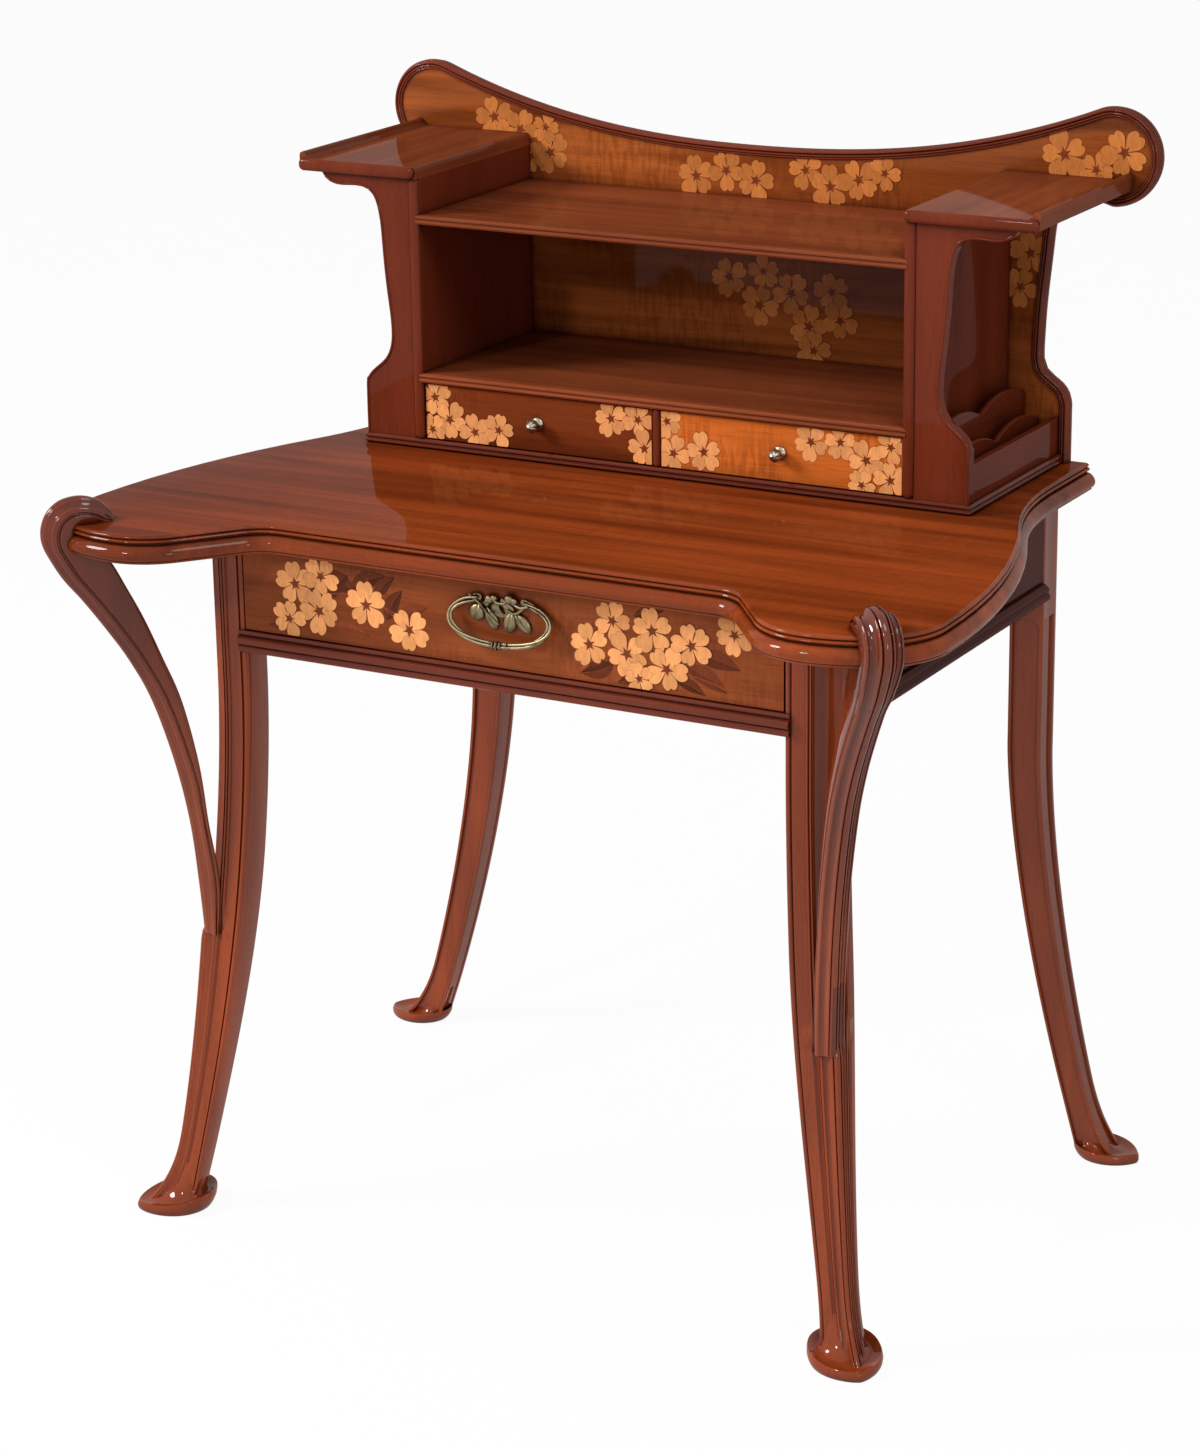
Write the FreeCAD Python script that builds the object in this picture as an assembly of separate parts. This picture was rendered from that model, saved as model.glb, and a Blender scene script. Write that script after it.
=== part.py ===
import FreeCAD, Part
import math
import os
from FreeCAD import Vector

# Ladies' writing desk. Millimetres: X to the right, Y to the back, Z up from the floor.
# Pieces of a left and right pair are drawn on the right and mirrored.

# Writing surface
TOP_HEIGHT = 735.0
TOP_THICKNESS = 28.0
TOP_BACK_Y = 333.0
TOP_OVERHANG = 17.5          # straight front edge past the face of the front legs
TOP_SIDE_MARGIN = 19.5       # waist of the top past the outer face of the front legs
CORNER_SET_IN = 84.5         # end of the straight front edge, inside the leg's axis
CYMA_ANGLE = 51.5            # steepest heading of the double curve beside the drawer
CYMA_STRAIGHT = 65.0
COVE_RADIUS = 45.0
LOBE_RADIUS = 70.0
CORNER_RADIUS_WIDE = 130.0
CORNER_RADIUS_TIGHT = 77.0
CORNER_TURN_WIDE = 25.0
SIDE_SWEEP = 480.0           # depth over which the side draws in to the waist
SIDE_SWEEP_SHARE = 0.67      # part of that sweep that bulges out
NOSE_REACH = 9.0             # lower roll of the edge past its upper arris
NOSE_HEIGHT = 20.0           # height of the roll and its quirk below the bead
BEAD_REACH = 2.2

# Legs
CARCASE_HALF_WIDTH = 345.0   # outer face of the front legs
CARCASE_FRONT_Y = -212.0     # front face of the front legs
FRONT_LEG_WIDTH = 50.0
FRONT_LEG_DEPTH = 38.0
FRONT_ANKLE_SHARE = 0.62     # section at the ankle, as a share of the full one
FRONT_LEG_KNEE_DROP = 170.0  # the leg starts to sweep out this far below the writing surface
FRONT_LEG_FLARE = 79.0
FRONT_LEG_POWER = 1.82
FRONT_LEG_TAPER_DROP = 345.0
LEG_COVE = 22.0              # hollow of the outer front corner
LEG_ARRIS = 4.0              # what is left of that hollow further down
LEG_COVE_RISE = 5.0          # hollow starts this far above the tail of the branch
LEG_COVE_FADE = 70.0
BACK_LEG_SIZE = 36.5
BACK_ANKLE_SHARE = 0.7
BACK_LEG_SET_IN = 6.0        # outer face of the back legs, inside that of the front ones
BACK_LEG_SET_FORWARD = 10.0  # back face of the back legs, in front of the top's back edge
BACK_LEG_KNEE_DROP = 295.0
BACK_LEG_FLARE = 86.4
BACK_LEG_POWER = 1.63
BACK_LEG_TURN = -6.5         # degrees between the back leg's sweep and the X axis
LEG_BEAD = 5.0
LEG_RECESS = 1.2
LEG_STATIONS = 16
FRONT_PAD_TIP = 31.0         # pad foot past the ankle
FRONT_PAD_HEEL = 10.0
FRONT_PAD_SIDE = 10.5
BACK_PAD_TIP = 42.0
BACK_PAD_HEEL = 2.0
BACK_PAD_SIDE = 15.5
PAD_ROUND = 3.0
PAD_FULL_HEIGHT = 13.0
PAD_TOP = 50.0
PAD_LEVELS = (0.0, 0.06, 0.26, 0.3, 0.4, 0.54, 0.72, 1.0)

# Branches, in the vertical plane on the diagonal through each front leg
BRANCH_HALF_WIDTH = 14.5
CLASP_HALF_WIDTH = 18.5
BRANCH_TAIL_DROP = 450.0     # lower end below the writing surface
BRANCH_STEPS = 2             # sections between two stations
BRANCH_CROWN = 5.0
# Height above the tail, outward and inward reach from the leg's corner
BRANCH_TAIL = ((0.0, 1.5, 13.0), (55.0, 4.6, 11.0))
# Outer and inner points of the stem: distance from the leg's axis, drop below the writing surface
BRANCH_STEM = (
    ((54.5, 320.0), (37.0, 321.0)),
    ((67.0, 255.0), (44.0, 256.0)),
    ((86.0, 190.0), (58.0, 189.0)),
    ((106.0, 147.0), (75.0, 142.0)),
    ((127.0, 113.0), (91.0, 101.0)),
    ((149.0, 81.0), (107.0, 67.0)),
)
# Outer and inner points of the clasp from the arris of the top's corner, and share of its width
BRANCH_CLASP = (
    ((5.5, -59.0), (-41.5, -43.0), 0.88),
    ((17.5, -38.0), (-30.0, -29.0), 0.96),
    ((24.0, -23.0), (-20.0, -22.0), 1.0),
    ((25.5, -10.0), (-14.5, -15.0), 1.0),
    ((22.5, 3.0), (-12.5, -10.0), 1.0),
    ((15.5, 14.0), (-13.5, -7.0), 1.0),
    ((3.0, 22.5), (-17.5, -5.0), 1.0),
    ((-15.5, 25.0), (-23.5, -4.0), 0.95),
    ((-32.5, 19.5), (-33.5, -3.0), 0.8),
    ((-45.5, 7.0), (-44.5, -2.0), 0.55),
)
REED_DEPTH = 2.0
REED_BOUNDS = (-1.0, -0.7, -0.4, 0.4, 0.7, 1.0)

# Rails and aprons
APRON_THICKNESS = 18.0
APRON_DROP = 135.0           # lower edge below the writing surface
APRON_SET_BACK = 7.0         # apron behind the outer face of the front legs
MOULDING_HEIGHT = 18.0
MOULDING_REACH = 9.0
FRONT_RAIL_DROP = 138.0
FRONT_RAIL_HEIGHT = 21.3
FRONT_RAIL_DEPTH = 34.0
FRONT_RAIL_REACH = 4.5
FRONT_RAIL_LAP = 6.0         # moulding over the face of the leg
TOP_RAIL_THICKNESS = 17.0
TOP_RAIL_DEPTH = 40.0
TOP_RAIL_SET_BACK = 28.0
TENON_THICKNESS = 8.0
TENON_LENGTH = 18.0
TENON_SHOULDER = 12.0
RUNNER_WIDTH = 50.0
RUNNER_THICKNESS = 12.0
GUIDE_HEIGHT = 15.0
KICKER_WIDTH = 44.0
KICKER_THICKNESS = 15.0
BLOCK_LENGTH = 60.0
BLOCK_SIZE = 20.0

# Main drawer
DRAWER_FRONT_THICKNESS = 19.0
DRAWER_SET_BACK = 1.0
DRAWER_GAP = 1.2
DRAWER_TOP_GAP = 4.0
DRAWER_BACK_ROOM = 59.0      # between the shut drawer and the back apron
DRAWER_SIDE_THICKNESS = 9.5
DRAWER_SIDE_GAP = 1.8        # under the top rail
DRAWER_BACK_DROP = 4.0
DRAWER_BOTTOM_THICKNESS = 6.0
DRAWER_BOTTOM_RISE = 7.0
DRAWER_GROOVE = 4.0
SLIDE_CLEARANCE = 0.5

# Lock and pull
LOCK_HALF_WIDTH = 18.0
LOCK_HEIGHT = 43.0
LOCK_DEPTH = 13.0
LOCK_PROUD = 2.0
LOCK_CLEARANCE = 0.2
BOLT_HALF_WIDTH = 8.0
BOLT_THICKNESS = 6.0
BOLT_LENGTH = 21.0
BOLT_CLEARANCE = 0.3
BOLT_THROW = 8.0
PULL_HALF_WIDTH = 55.0
PULL_HALF_HEIGHT = 23.5
PULL_BAR_RADIUS = 3.8
PULL_BAR_SIDES = 8
PULL_DROP = 35.0             # centre of the loop below the drawer's top edge
PULL_STAND_OFF = 18.0        # lowest part of the bar in front of the drawer
PULL_OPEN_ANGLE = 63.0       # half angle of the gap at the top of the loop
PULL_BOSS_RADIUS = 5.0
STUD_RADIUS = 2.0
STUD_CLEARANCE = 0.15
NUT_RADIUS = 5.0
NUT_THICKNESS = 4.0
SPRAY_THICKNESS = 4.0
KEYHOLE_RADIUS = 3.0
KEYHOLE_DEPTH = 2.0

# Superstructure
UPPER_DEPTH = 240.0          # face of the uprights to the back of the panel
PLINTH_HEIGHT = 10.0
PLINTH_REED = 2.2
PLINTH_MARGIN = 1.0
INNER_HALF_WIDTH = 270.5     # between the uprights
UPRIGHT_THICKNESS = 11.0
RACK_WIDTH = 58.5            # letter rack outside the upright
FRONT_BOARD_THICKNESS = 12.0
FRONT_BOARD_SHOULDER = 52.0  # foot of the front board, up to where it curves in
PANEL_SHOULDER = 60.0
PANEL_THICKNESS = 12.5
PANEL_MARGIN = 7.0           # foot of the back panel past the rack
PANEL_BORDER = 8.0
PANEL_BORDER_PROUD = 1.5
LOBE_OUT = 42.0              # centre of the lobe past the foot of the panel
LOBE_RISE = 361.0            # these rises are heights above the writing surface
LOBE_END_RADIUS = 48.0
PANEL_TROUGH_RISE = 295.5    # lowest point of the panel's top edge
LOWER_SHELF_RISE = 79.5
UPPER_SHELF_RISE = 243.5
SHELF_THICKNESS = 10.0
SHELF_NOSE = 3.0
SHELF_LAP = 3.5
DIVIDER_THICKNESS = 8.0
PLATFORM_RISE = 292.0
PLATFORM_THICKNESS = 12.0
PLATFORM_OUT = 69.5          # outer edge past the rack
PLATFORM_FRONT_REACH = 7.0
PLATFORM_LIP = 7.0
PLATFORM_CORNER = 4.0
RACK_SIDE_RISE = 47.0
RACK_SIDE_THICKNESS = 7.0
RACK_SIDE_INSET = 2.0
RACK_DIVIDER_THICKNESS = 4.5
RACK_PEAK_RISES = (81.0, 56.0)  # tops of the inner and the outer letter divider
SCALLOP_DEPTH = 12.0

# Small drawers
SMALL_FRONT_THICKNESS = 12.0
SMALL_SET_BACK = 2.0
SMALL_GAP = 0.8
SMALL_BACK_ROOM = 26.5       # between the shut drawer and the back panel
SMALL_SIDE_THICKNESS = 7.0
SMALL_SIDE_DROP = 8.0        # sides below the top of the drawer front
SMALL_BOTTOM_THICKNESS = 4.0
SMALL_BOTTOM_RISE = 4.0
SMALL_GROOVE = 3.0
KNOB_RADIUS = 8.2
KNOB_LENGTH = 19.0
KNOB_SIDES = 12
KNOB_FLUTE = 0.12            # depth of the grooves between the bud's lobes, as a share of its radius
KNOB_SPINDLE_RADIUS = 2.5
KNOB_HEIGHT_SHARE = 0.49     # height of the knob on the drawer front

# Places that follow from the sizes above
DIAGONAL = math.sqrt(0.5)
FLAT_TWIST = 1e-6            # four corners count as flat below this
top_under = TOP_HEIGHT - TOP_THICKNESS
top_front_y = CARCASE_FRONT_Y - TOP_OVERHANG
leg_x = CARCASE_HALF_WIDTH - FRONT_LEG_WIDTH / 2
leg_y = CARCASE_FRONT_Y + FRONT_LEG_DEPTH / 2
leg_inner_x = CARCASE_HALF_WIDTH - FRONT_LEG_WIDTH
leg_back_y = CARCASE_FRONT_Y + FRONT_LEG_DEPTH
front_knee = TOP_HEIGHT - FRONT_LEG_KNEE_DROP
front_taper_top = TOP_HEIGHT - FRONT_LEG_TAPER_DROP
branch_tail = TOP_HEIGHT - BRANCH_TAIL_DROP
back_knee = TOP_HEIGHT - BACK_LEG_KNEE_DROP
back_leg_outer_x = CARCASE_HALF_WIDTH - BACK_LEG_SET_IN
back_leg_inner_x = back_leg_outer_x - BACK_LEG_SIZE
back_leg_x = back_leg_outer_x - BACK_LEG_SIZE / 2
back_leg_back_y = TOP_BACK_Y - BACK_LEG_SET_FORWARD
back_leg_y = back_leg_back_y - BACK_LEG_SIZE / 2
back_leg_front_y = back_leg_back_y - BACK_LEG_SIZE
apron_bottom = TOP_HEIGHT - APRON_DROP
apron_outer_x = CARCASE_HALF_WIDTH - APRON_SET_BACK
apron_inner_x = apron_outer_x - APRON_THICKNESS
back_apron_back_y = back_leg_back_y - TENON_THICKNESS / 2
back_apron_front_y = back_apron_back_y - APRON_THICKNESS
front_rail_bottom = TOP_HEIGHT - FRONT_RAIL_DROP
front_rail_top = front_rail_bottom + FRONT_RAIL_HEIGHT
front_rail_back_y = CARCASE_FRONT_Y + FRONT_RAIL_DEPTH
top_rail_bottom = top_under - TOP_RAIL_THICKNESS
drawer_half_width = leg_inner_x - DRAWER_GAP
drawer_front_y = CARCASE_FRONT_Y + DRAWER_SET_BACK
drawer_inside_y = drawer_front_y + DRAWER_FRONT_THICKNESS
drawer_back_y = back_apron_front_y - DRAWER_BACK_ROOM
drawer_bottom_z = front_rail_top + DRAWER_GAP
drawer_top_z = top_under - DRAWER_TOP_GAP
runner_top = drawer_bottom_z + DRAWER_GAP
side_bottom_z = runner_top + SLIDE_CLEARANCE
side_top_z = top_rail_bottom - DRAWER_SIDE_GAP
side_outer_x = drawer_half_width - DRAWER_GAP
side_inner_x = side_outer_x - DRAWER_SIDE_THICKNESS
lock_back_y = drawer_inside_y + LOCK_PROUD
lock_front_y = lock_back_y - LOCK_DEPTH
bolt_front_y = lock_front_y + LOCK_PROUD
pull_centre_z = drawer_top_z - PULL_DROP
panel_front_y = TOP_BACK_Y - PANEL_THICKNESS
upper_front_y = TOP_BACK_Y - UPPER_DEPTH
plinth_top = TOP_HEIGHT + PLINTH_HEIGHT
upright_outer_x = INNER_HALF_WIDTH + UPRIGHT_THICKNESS
rack_half_width = upright_outer_x + RACK_WIDTH
panel_half_width = rack_half_width + PANEL_MARGIN
lobe_centre_x = panel_half_width + LOBE_OUT
lobe_centre_z = TOP_HEIGHT + LOBE_RISE - LOBE_END_RADIUS
lower_shelf_top = TOP_HEIGHT + LOWER_SHELF_RISE
upper_shelf_top = TOP_HEIGHT + UPPER_SHELF_RISE
platform_top = TOP_HEIGHT + PLATFORM_RISE
platform_under = platform_top - PLATFORM_THICKNESS
platform_outer_x = rack_half_width + PLATFORM_OUT
rack_front_y = upper_front_y + FRONT_BOARD_THICKNESS
rack_side_outer_x = rack_half_width - RACK_SIDE_INSET
rack_side_inner_x = rack_side_outer_x - RACK_SIDE_THICKNESS
small_front_y = upper_front_y + SMALL_SET_BACK
small_inside_y = small_front_y + SMALL_FRONT_THICKNESS
small_back_y = panel_front_y - SMALL_BACK_ROOM
small_top_z = lower_shelf_top - SHELF_THICKNESS - SMALL_GAP
small_bottom_z = plinth_top + SMALL_GAP


def smoothstep(x):
    x = min(max(x, 0.0), 1.0)
    return x * x * (3.0 - 2.0 * x)


def box(x0, x1, y0, y1, z0, z1):
    return Part.makeBox(x1 - x0, y1 - y0, z1 - z0, Vector(x0, y0, z0))


def mirrored(shape):
    return shape.mirror(Vector(0, 0, 0), Vector(1, 0, 0))


def polygon(points):
    return Part.makePolygon(points + [points[0]])


def prism(points, direction):
    return Part.Face(polygon(points)).extrude(direction)


def chords(curve, pieces):
    """A curve as a run of short straight edges."""
    places = curve.discretize(pieces + 1)
    return [line(start, end) for start, end in zip(places, places[1:])]


def spline(points):
    curve = Part.BSplineCurve()
    curve.interpolate(points)
    return curve


def knotted(points):
    """Curve through the points that passes one point per unit of its parameter."""
    curve = Part.BSplineCurve()
    curve.interpolate(Points=points, Parameters=[float(index) for index in range(len(points))])
    return curve


def skin(rings):
    """Solid of flat facets over a row of like polygons, closed by the first and the last."""
    faces = [Part.Face(polygon(rings[0])), Part.Face(polygon(rings[-1]))]
    for low, high in zip(rings, rings[1:]):
        for side in range(len(low)):
            after = (side + 1) % len(low)
            a, b, c, d = low[side], low[after], high[after], high[side]
            twist = abs((b - a).cross(c - a).dot(d - a))
            if twist < FLAT_TWIST:
                faces.append(Part.Face(polygon([a, b, c, d])))
            else:
                faces.append(Part.Face(polygon([a, b, c])))
                faces.append(Part.Face(polygon([a, c, d])))
    solid = Part.Solid(Part.Shell(faces))
    if solid.Volume < 0:
        solid.reverse()
    return solid


def plate(edges, thickness):
    """A board in a vertical XZ plane, from the edges of its outline, towards the back."""
    return Part.Face(Part.Wire(edges)).extrude(Vector(0, thickness, 0))


def line(start, end):
    return Part.LineSegment(start, end).toShape()


def largest(shape):
    return max(shape.Solids, key=lambda solid: solid.Volume)


def walk(start, heading, steps, offset, z):
    """Lines (length, 0) and arcs (radius, turn) from a start, moved to the right by an offset."""
    edges = []
    point = Vector(start.x, start.y, z)
    angle = math.radians(heading)

    def beside(place, course):
        return place + Vector(math.sin(course), -math.cos(course), 0) * offset

    for size, turn in steps:
        if turn == 0:
            end = point + Vector(math.cos(angle), math.sin(angle), 0) * size
            edges.append(line(beside(point, angle), beside(end, angle)))
        else:
            sweep = math.radians(turn)
            side = math.copysign(size, turn)
            centre = point + Vector(-math.sin(angle), math.cos(angle), 0) * side
            places = []
            for share in (0.0, 0.5, 1.0):
                course = angle + sweep * share
                on_arc = centre + Vector(math.sin(course), -math.cos(course), 0) * side
                places.append(beside(on_arc, course))
                end = on_arc
            edges.append(Part.Arc(*places).toShape())
            angle += sweep
        point = end
    return edges, point


def top_half(offset, z):
    """Right half of the top's outline, from the middle of the front to past the back."""
    corner = [
        (leg_x - CORNER_SET_IN, 0),
        (COVE_RADIUS, -CYMA_ANGLE),
        (CYMA_STRAIGHT, 0),
        (LOBE_RADIUS, CYMA_ANGLE),
        (CORNER_RADIUS_WIDE, CORNER_TURN_WIDE),
        (CORNER_RADIUS_TIGHT, 90.0 - CORNER_TURN_WIDE),
    ]
    front = Vector(0, top_front_y, 0)
    edges, widest = walk(front, 0.0, corner, offset, z)
    draw_in = widest.x - (CARCASE_HALF_WIDTH + TOP_SIDE_MARGIN)
    turn = 2.0 * math.atan2(draw_in, SIDE_SWEEP)
    radius = SIDE_SWEEP / math.sin(turn)
    spare = 2.0 * NOSE_REACH
    side = [
        (radius * SIDE_SWEEP_SHARE, math.degrees(turn)),
        (radius * (1.0 - SIDE_SWEEP_SHARE), -math.degrees(turn)),
        (TOP_BACK_Y + spare - widest.y - SIDE_SWEEP, 0),
    ]
    more, end = walk(widest, 90.0, side, offset, z)
    return edges + more, widest


def top_outline(offset, z):
    right, widest = top_half(offset, z)
    left = [mirrored(edge) for edge in right]
    ends = [right[-1].Vertexes[-1].Point, left[-1].Vertexes[-1].Point]
    return Part.Wire(Part.__sortEdges__(right + left + [line(ends[0], ends[1])]))


def top_edge_profile():
    """Heights above the underside and reaches of the moulded edge: roll, quirk, bead."""
    rows = []
    roll_middle = NOSE_HEIGHT * 0.4
    for angle in (-70, -25, 15, 50, 90):
        swing = math.radians(angle)
        rise = roll_middle / math.sin(math.radians(70)) if angle < 0 else NOSE_HEIGHT - roll_middle
        rows.append((roll_middle + rise * math.sin(swing), NOSE_REACH * math.cos(swing)))
    bead = (TOP_THICKNESS - NOSE_HEIGHT) / 2.0
    for angle in (-40, 20, 90):
        swing = math.radians(angle)
        rows.append((NOSE_HEIGHT + bead + bead * math.sin(swing), BEAD_REACH * math.cos(swing)))
    return rows


def top_board():
    wires = [top_outline(reach, top_under + height) for height, reach in top_edge_profile()]
    board = Part.makeLoft(wires, True, True)
    low = board.BoundBox
    board = board.common(box(low.XMin, low.XMax, low.YMin, TOP_BACK_Y, low.ZMin, low.ZMax))
    mortise = box(
        -BOLT_HALF_WIDTH - BOLT_CLEARANCE,
        BOLT_HALF_WIDTH + BOLT_CLEARANCE,
        bolt_front_y - BOLT_CLEARANCE,
        bolt_front_y + BOLT_THICKNESS + BOLT_CLEARANCE,
        top_under,
        top_under + BOLT_THROW,
    )
    return largest(board.cut(mortise))


def front_leg_sweep(z):
    return FRONT_LEG_FLARE * max((front_knee - z) / front_knee, 0.0) ** FRONT_LEG_POWER


def front_leg_share(z):
    return FRONT_ANKLE_SHARE + (1.0 - FRONT_ANKLE_SHARE) * smoothstep(z / front_taper_top)


def front_leg_corner(z):
    """Distance of the leg's outer front corner from its axis, along the diagonal."""
    half = (FRONT_LEG_WIDTH + FRONT_LEG_DEPTH) / 2 * front_leg_share(z)
    return front_leg_sweep(z) + half * DIAGONAL


def back_leg_sweep(z):
    return BACK_LEG_FLARE * max((back_knee - z) / back_knee, 0.0) ** BACK_LEG_POWER


def back_leg_share(z):
    return BACK_ANKLE_SHARE + (1.0 - BACK_ANKLE_SHARE) * min(z / back_knee, 1.0)


def leg_section(x, y, z, half_x, half_y, cove, bead):
    """Section with a beaded front face and a hollow at its outer front corner."""
    corners = [
        (-half_x, -half_y),
        (-half_x, half_y),
        (-half_x + bead, half_y),
        (-half_x + bead + LEG_RECESS, half_y - LEG_RECESS),
        (half_x - cove - bead - LEG_RECESS, half_y - LEG_RECESS),
        (half_x - cove - bead, half_y),
    ]
    for step in range(5):
        angle = math.radians(22.5 * step)
        corners.append((half_x - cove * math.cos(angle), half_y - cove * math.sin(angle)))
    corners.append((half_x, -half_y))
    return [Vector(x + u, y - v, z) for u, v in corners]


def pad_section(centre, direction, ankle, tip, heel, side):
    """Teardrop outline of the pad foot at one height, pointed along its direction."""
    z = centre.z
    spread = min((PAD_TOP - z) / (PAD_TOP - PAD_FULL_HEIGHT), 1.0) ** 2.2
    neck = ankle * (0.62 + 0.38 * (PAD_TOP - z) / PAD_TOP)
    inset = PAD_ROUND * max(1.0 - z / PAD_ROUND, 0.0) ** 2
    front = neck + tip * spread - inset
    back = neck + heel * spread - inset
    half = neck + side * spread - inset
    middle = 0.44 * (front + back) - back
    across = Vector(-direction.y, direction.x, 0)
    points = []
    for step in range(18):
        angle = math.radians(20.0 * step)
        ahead, aside = math.cos(angle), math.sin(angle)
        length = front - middle if ahead > 0 else back + middle
        point_power = 1.4 if ahead > 0 else 1.0
        width = math.copysign(half * abs(aside) ** point_power, aside)
        points.append(centre + direction * (middle + length * ahead) + across * width)
    return points


def flared_leg(axis, direction, sweep, section, knee, ankle, pad):
    """Straight post above the knee, swept and tapered below it, on a pad foot."""

    def centre(z):
        return axis + direction * sweep(z) + Vector(0, 0, z)

    low = PAD_FULL_HEIGHT / 2
    drop = (knee - low) / LEG_STATIONS
    levels = [top_under] + [knee - drop * step for step in range(LEG_STATIONS + 1)]
    leg = skin([section(centre(z)) for z in levels])
    pads = [pad_section(centre(PAD_TOP * share), direction, ankle, *pad) for share in PAD_LEVELS]
    return largest(leg.fuse(skin(pads)))


def front_leg():
    def section(centre):
        share = front_leg_share(centre.z)
        fade = smoothstep((centre.z - branch_tail - LEG_COVE_RISE) / LEG_COVE_FADE)
        cove = LEG_ARRIS + (LEG_COVE - LEG_ARRIS) * fade
        half_x = FRONT_LEG_WIDTH / 2 * share
        half_y = FRONT_LEG_DEPTH / 2 * share
        return leg_section(centre.x, centre.y, centre.z, half_x, half_y, cove, LEG_BEAD * share)

    return flared_leg(
        Vector(leg_x, leg_y, 0),
        Vector(DIAGONAL, -DIAGONAL, 0),
        front_leg_sweep,
        section,
        front_knee,
        front_leg_corner(0.0) - front_leg_sweep(0.0),
        (FRONT_PAD_TIP, FRONT_PAD_HEEL, FRONT_PAD_SIDE),
    )


def back_leg():
    def section(centre):
        share = back_leg_share(centre.z)
        half = BACK_LEG_SIZE / 2 * share
        return leg_section(centre.x, centre.y, centre.z, half, half, LEG_ARRIS, LEG_BEAD * share)

    turn = math.radians(BACK_LEG_TURN)
    return flared_leg(
        Vector(back_leg_x, back_leg_y, 0),
        Vector(math.cos(turn), math.sin(turn), 0),
        back_leg_sweep,
        section,
        back_knee,
        BACK_LEG_SIZE / 2 * BACK_ANKLE_SHARE,
        (BACK_PAD_TIP, BACK_PAD_HEEL, BACK_PAD_SIDE),
    )


def clasp_edge():
    """Distance along the leg's diagonal from its axis to the arris of the top's corner."""
    edges, widest = top_half(0.0, 0.0)
    centre = widest - Vector(CORNER_RADIUS_TIGHT, 0, 0)
    along = (centre.x - leg_x) * DIAGONAL - (centre.y - leg_y) * DIAGONAL
    beside = (centre.x - leg_x) * DIAGONAL + (centre.y - leg_y) * DIAGONAL
    return along + math.sqrt(CORNER_RADIUS_TIGHT ** 2 - beside ** 2)


def branch_section(outer, inner, half_width):
    """Section between an outer and an inner point of the diagonal plane, reeded outside."""
    across = Vector(DIAGONAL, DIAGONAL, 0)
    diagonal = Vector(DIAGONAL, -DIAGONAL, 0)
    axis = Vector(leg_x, leg_y, 0)
    crest = axis + diagonal * outer[0] + Vector(0, 0, outer[1])
    root = axis + diagonal * inner[0] + Vector(0, 0, inner[1])
    inward = (root - crest).normalize()
    depth_limit = (root - crest).Length * 0.4
    points = [root + across * (-0.9 * half_width)]
    for left, right in zip(REED_BOUNDS, REED_BOUNDS[1:]):
        for step in range(3):
            share = step / 3.0
            place = left + (right - left) * share
            depth = BRANCH_CROWN * place ** 2 + REED_DEPTH * (1.0 - math.sin(math.pi * share))
            points.append(crest + inward * min(depth, depth_limit) + across * (place * half_width))
    depth = min(BRANCH_CROWN + REED_DEPTH, depth_limit)
    points.append(crest + inward * depth + across * half_width)
    points.append(root + across * (0.9 * half_width))
    return points


def branch(top):
    """Bracket from the leg's corner to the clasp, lofted on pairs of outer and inner points."""
    edge = clasp_edge()
    outer, inner, width = [], [], []

    def station(out, into, half_width):
        outer.append(Vector(out[0], 0, out[1]))
        inner.append(Vector(into[0], 0, into[1]))
        width.append(half_width)

    for rise, outward, inward in BRANCH_TAIL:
        z = branch_tail + rise
        corner = front_leg_corner(z)
        station((corner + outward, z), (corner - inward, z), BRANCH_HALF_WIDTH)
    for out, into in BRANCH_STEM:
        station((out[0], TOP_HEIGHT - out[1]), (into[0], TOP_HEIGHT - into[1]), BRANCH_HALF_WIDTH)
    for out, into, share in BRANCH_CLASP:
        station(
            (edge + out[0], TOP_HEIGHT + out[1]),
            (edge + into[0], TOP_HEIGHT + into[1]),
            CLASP_HALF_WIDTH * share,
        )
    sections = []
    last = len(width) - 1
    curves = [knotted(outer), knotted(inner)]
    for step in range(last * BRANCH_STEPS + 1):
        at = step / BRANCH_STEPS
        left = min(int(at), last - 1)
        half_width = width[left] + (width[left + 1] - width[left]) * (at - left)
        crest, root = [curve.value(at) for curve in curves]
        sections.append(branch_section((crest.x, crest.z), (root.x, root.z), half_width))
    return largest(skin(sections).cut(top))


def side_tenons():
    middle = (apron_outer_x + apron_inner_x) / 2
    x0 = middle - TENON_THICKNESS / 2
    z0 = apron_bottom + TENON_SHOULDER
    z1 = top_under - TENON_SHOULDER
    front = box(x0, x0 + TENON_THICKNESS, leg_back_y - TENON_LENGTH, leg_back_y, z0, z1)
    back = box(x0, x0 + TENON_THICKNESS, back_leg_front_y, back_leg_front_y + TENON_LENGTH, z0, z1)
    return front, back


def side_apron():
    board = box(apron_inner_x, apron_outer_x, leg_back_y, back_leg_front_y, apron_bottom, top_under)
    front, back = side_tenons()
    return board.fuse([front, back]).removeSplitter().Solids[0]


def side_moulding():
    """Reeded strip under the apron, drawn in XZ and run along Y between the legs."""
    reach = MOULDING_REACH
    rows = [(0.0, 0.0), (0.7, 0.0), (1.0, 0.14), (1.0, 0.33), (0.78, 0.47)]
    rows += [(0.88, 0.6), (0.82, 0.75), (0.4, 0.95)]
    points = []
    for out, up in rows:
        points.append(Vector(apron_outer_x + reach * out, leg_back_y, apron_bottom + MOULDING_HEIGHT * up))
    points.append(Vector(apron_outer_x, leg_back_y, apron_bottom + MOULDING_HEIGHT))
    return prism(points, Vector(0, back_leg_front_y - leg_back_y, 0))


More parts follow.
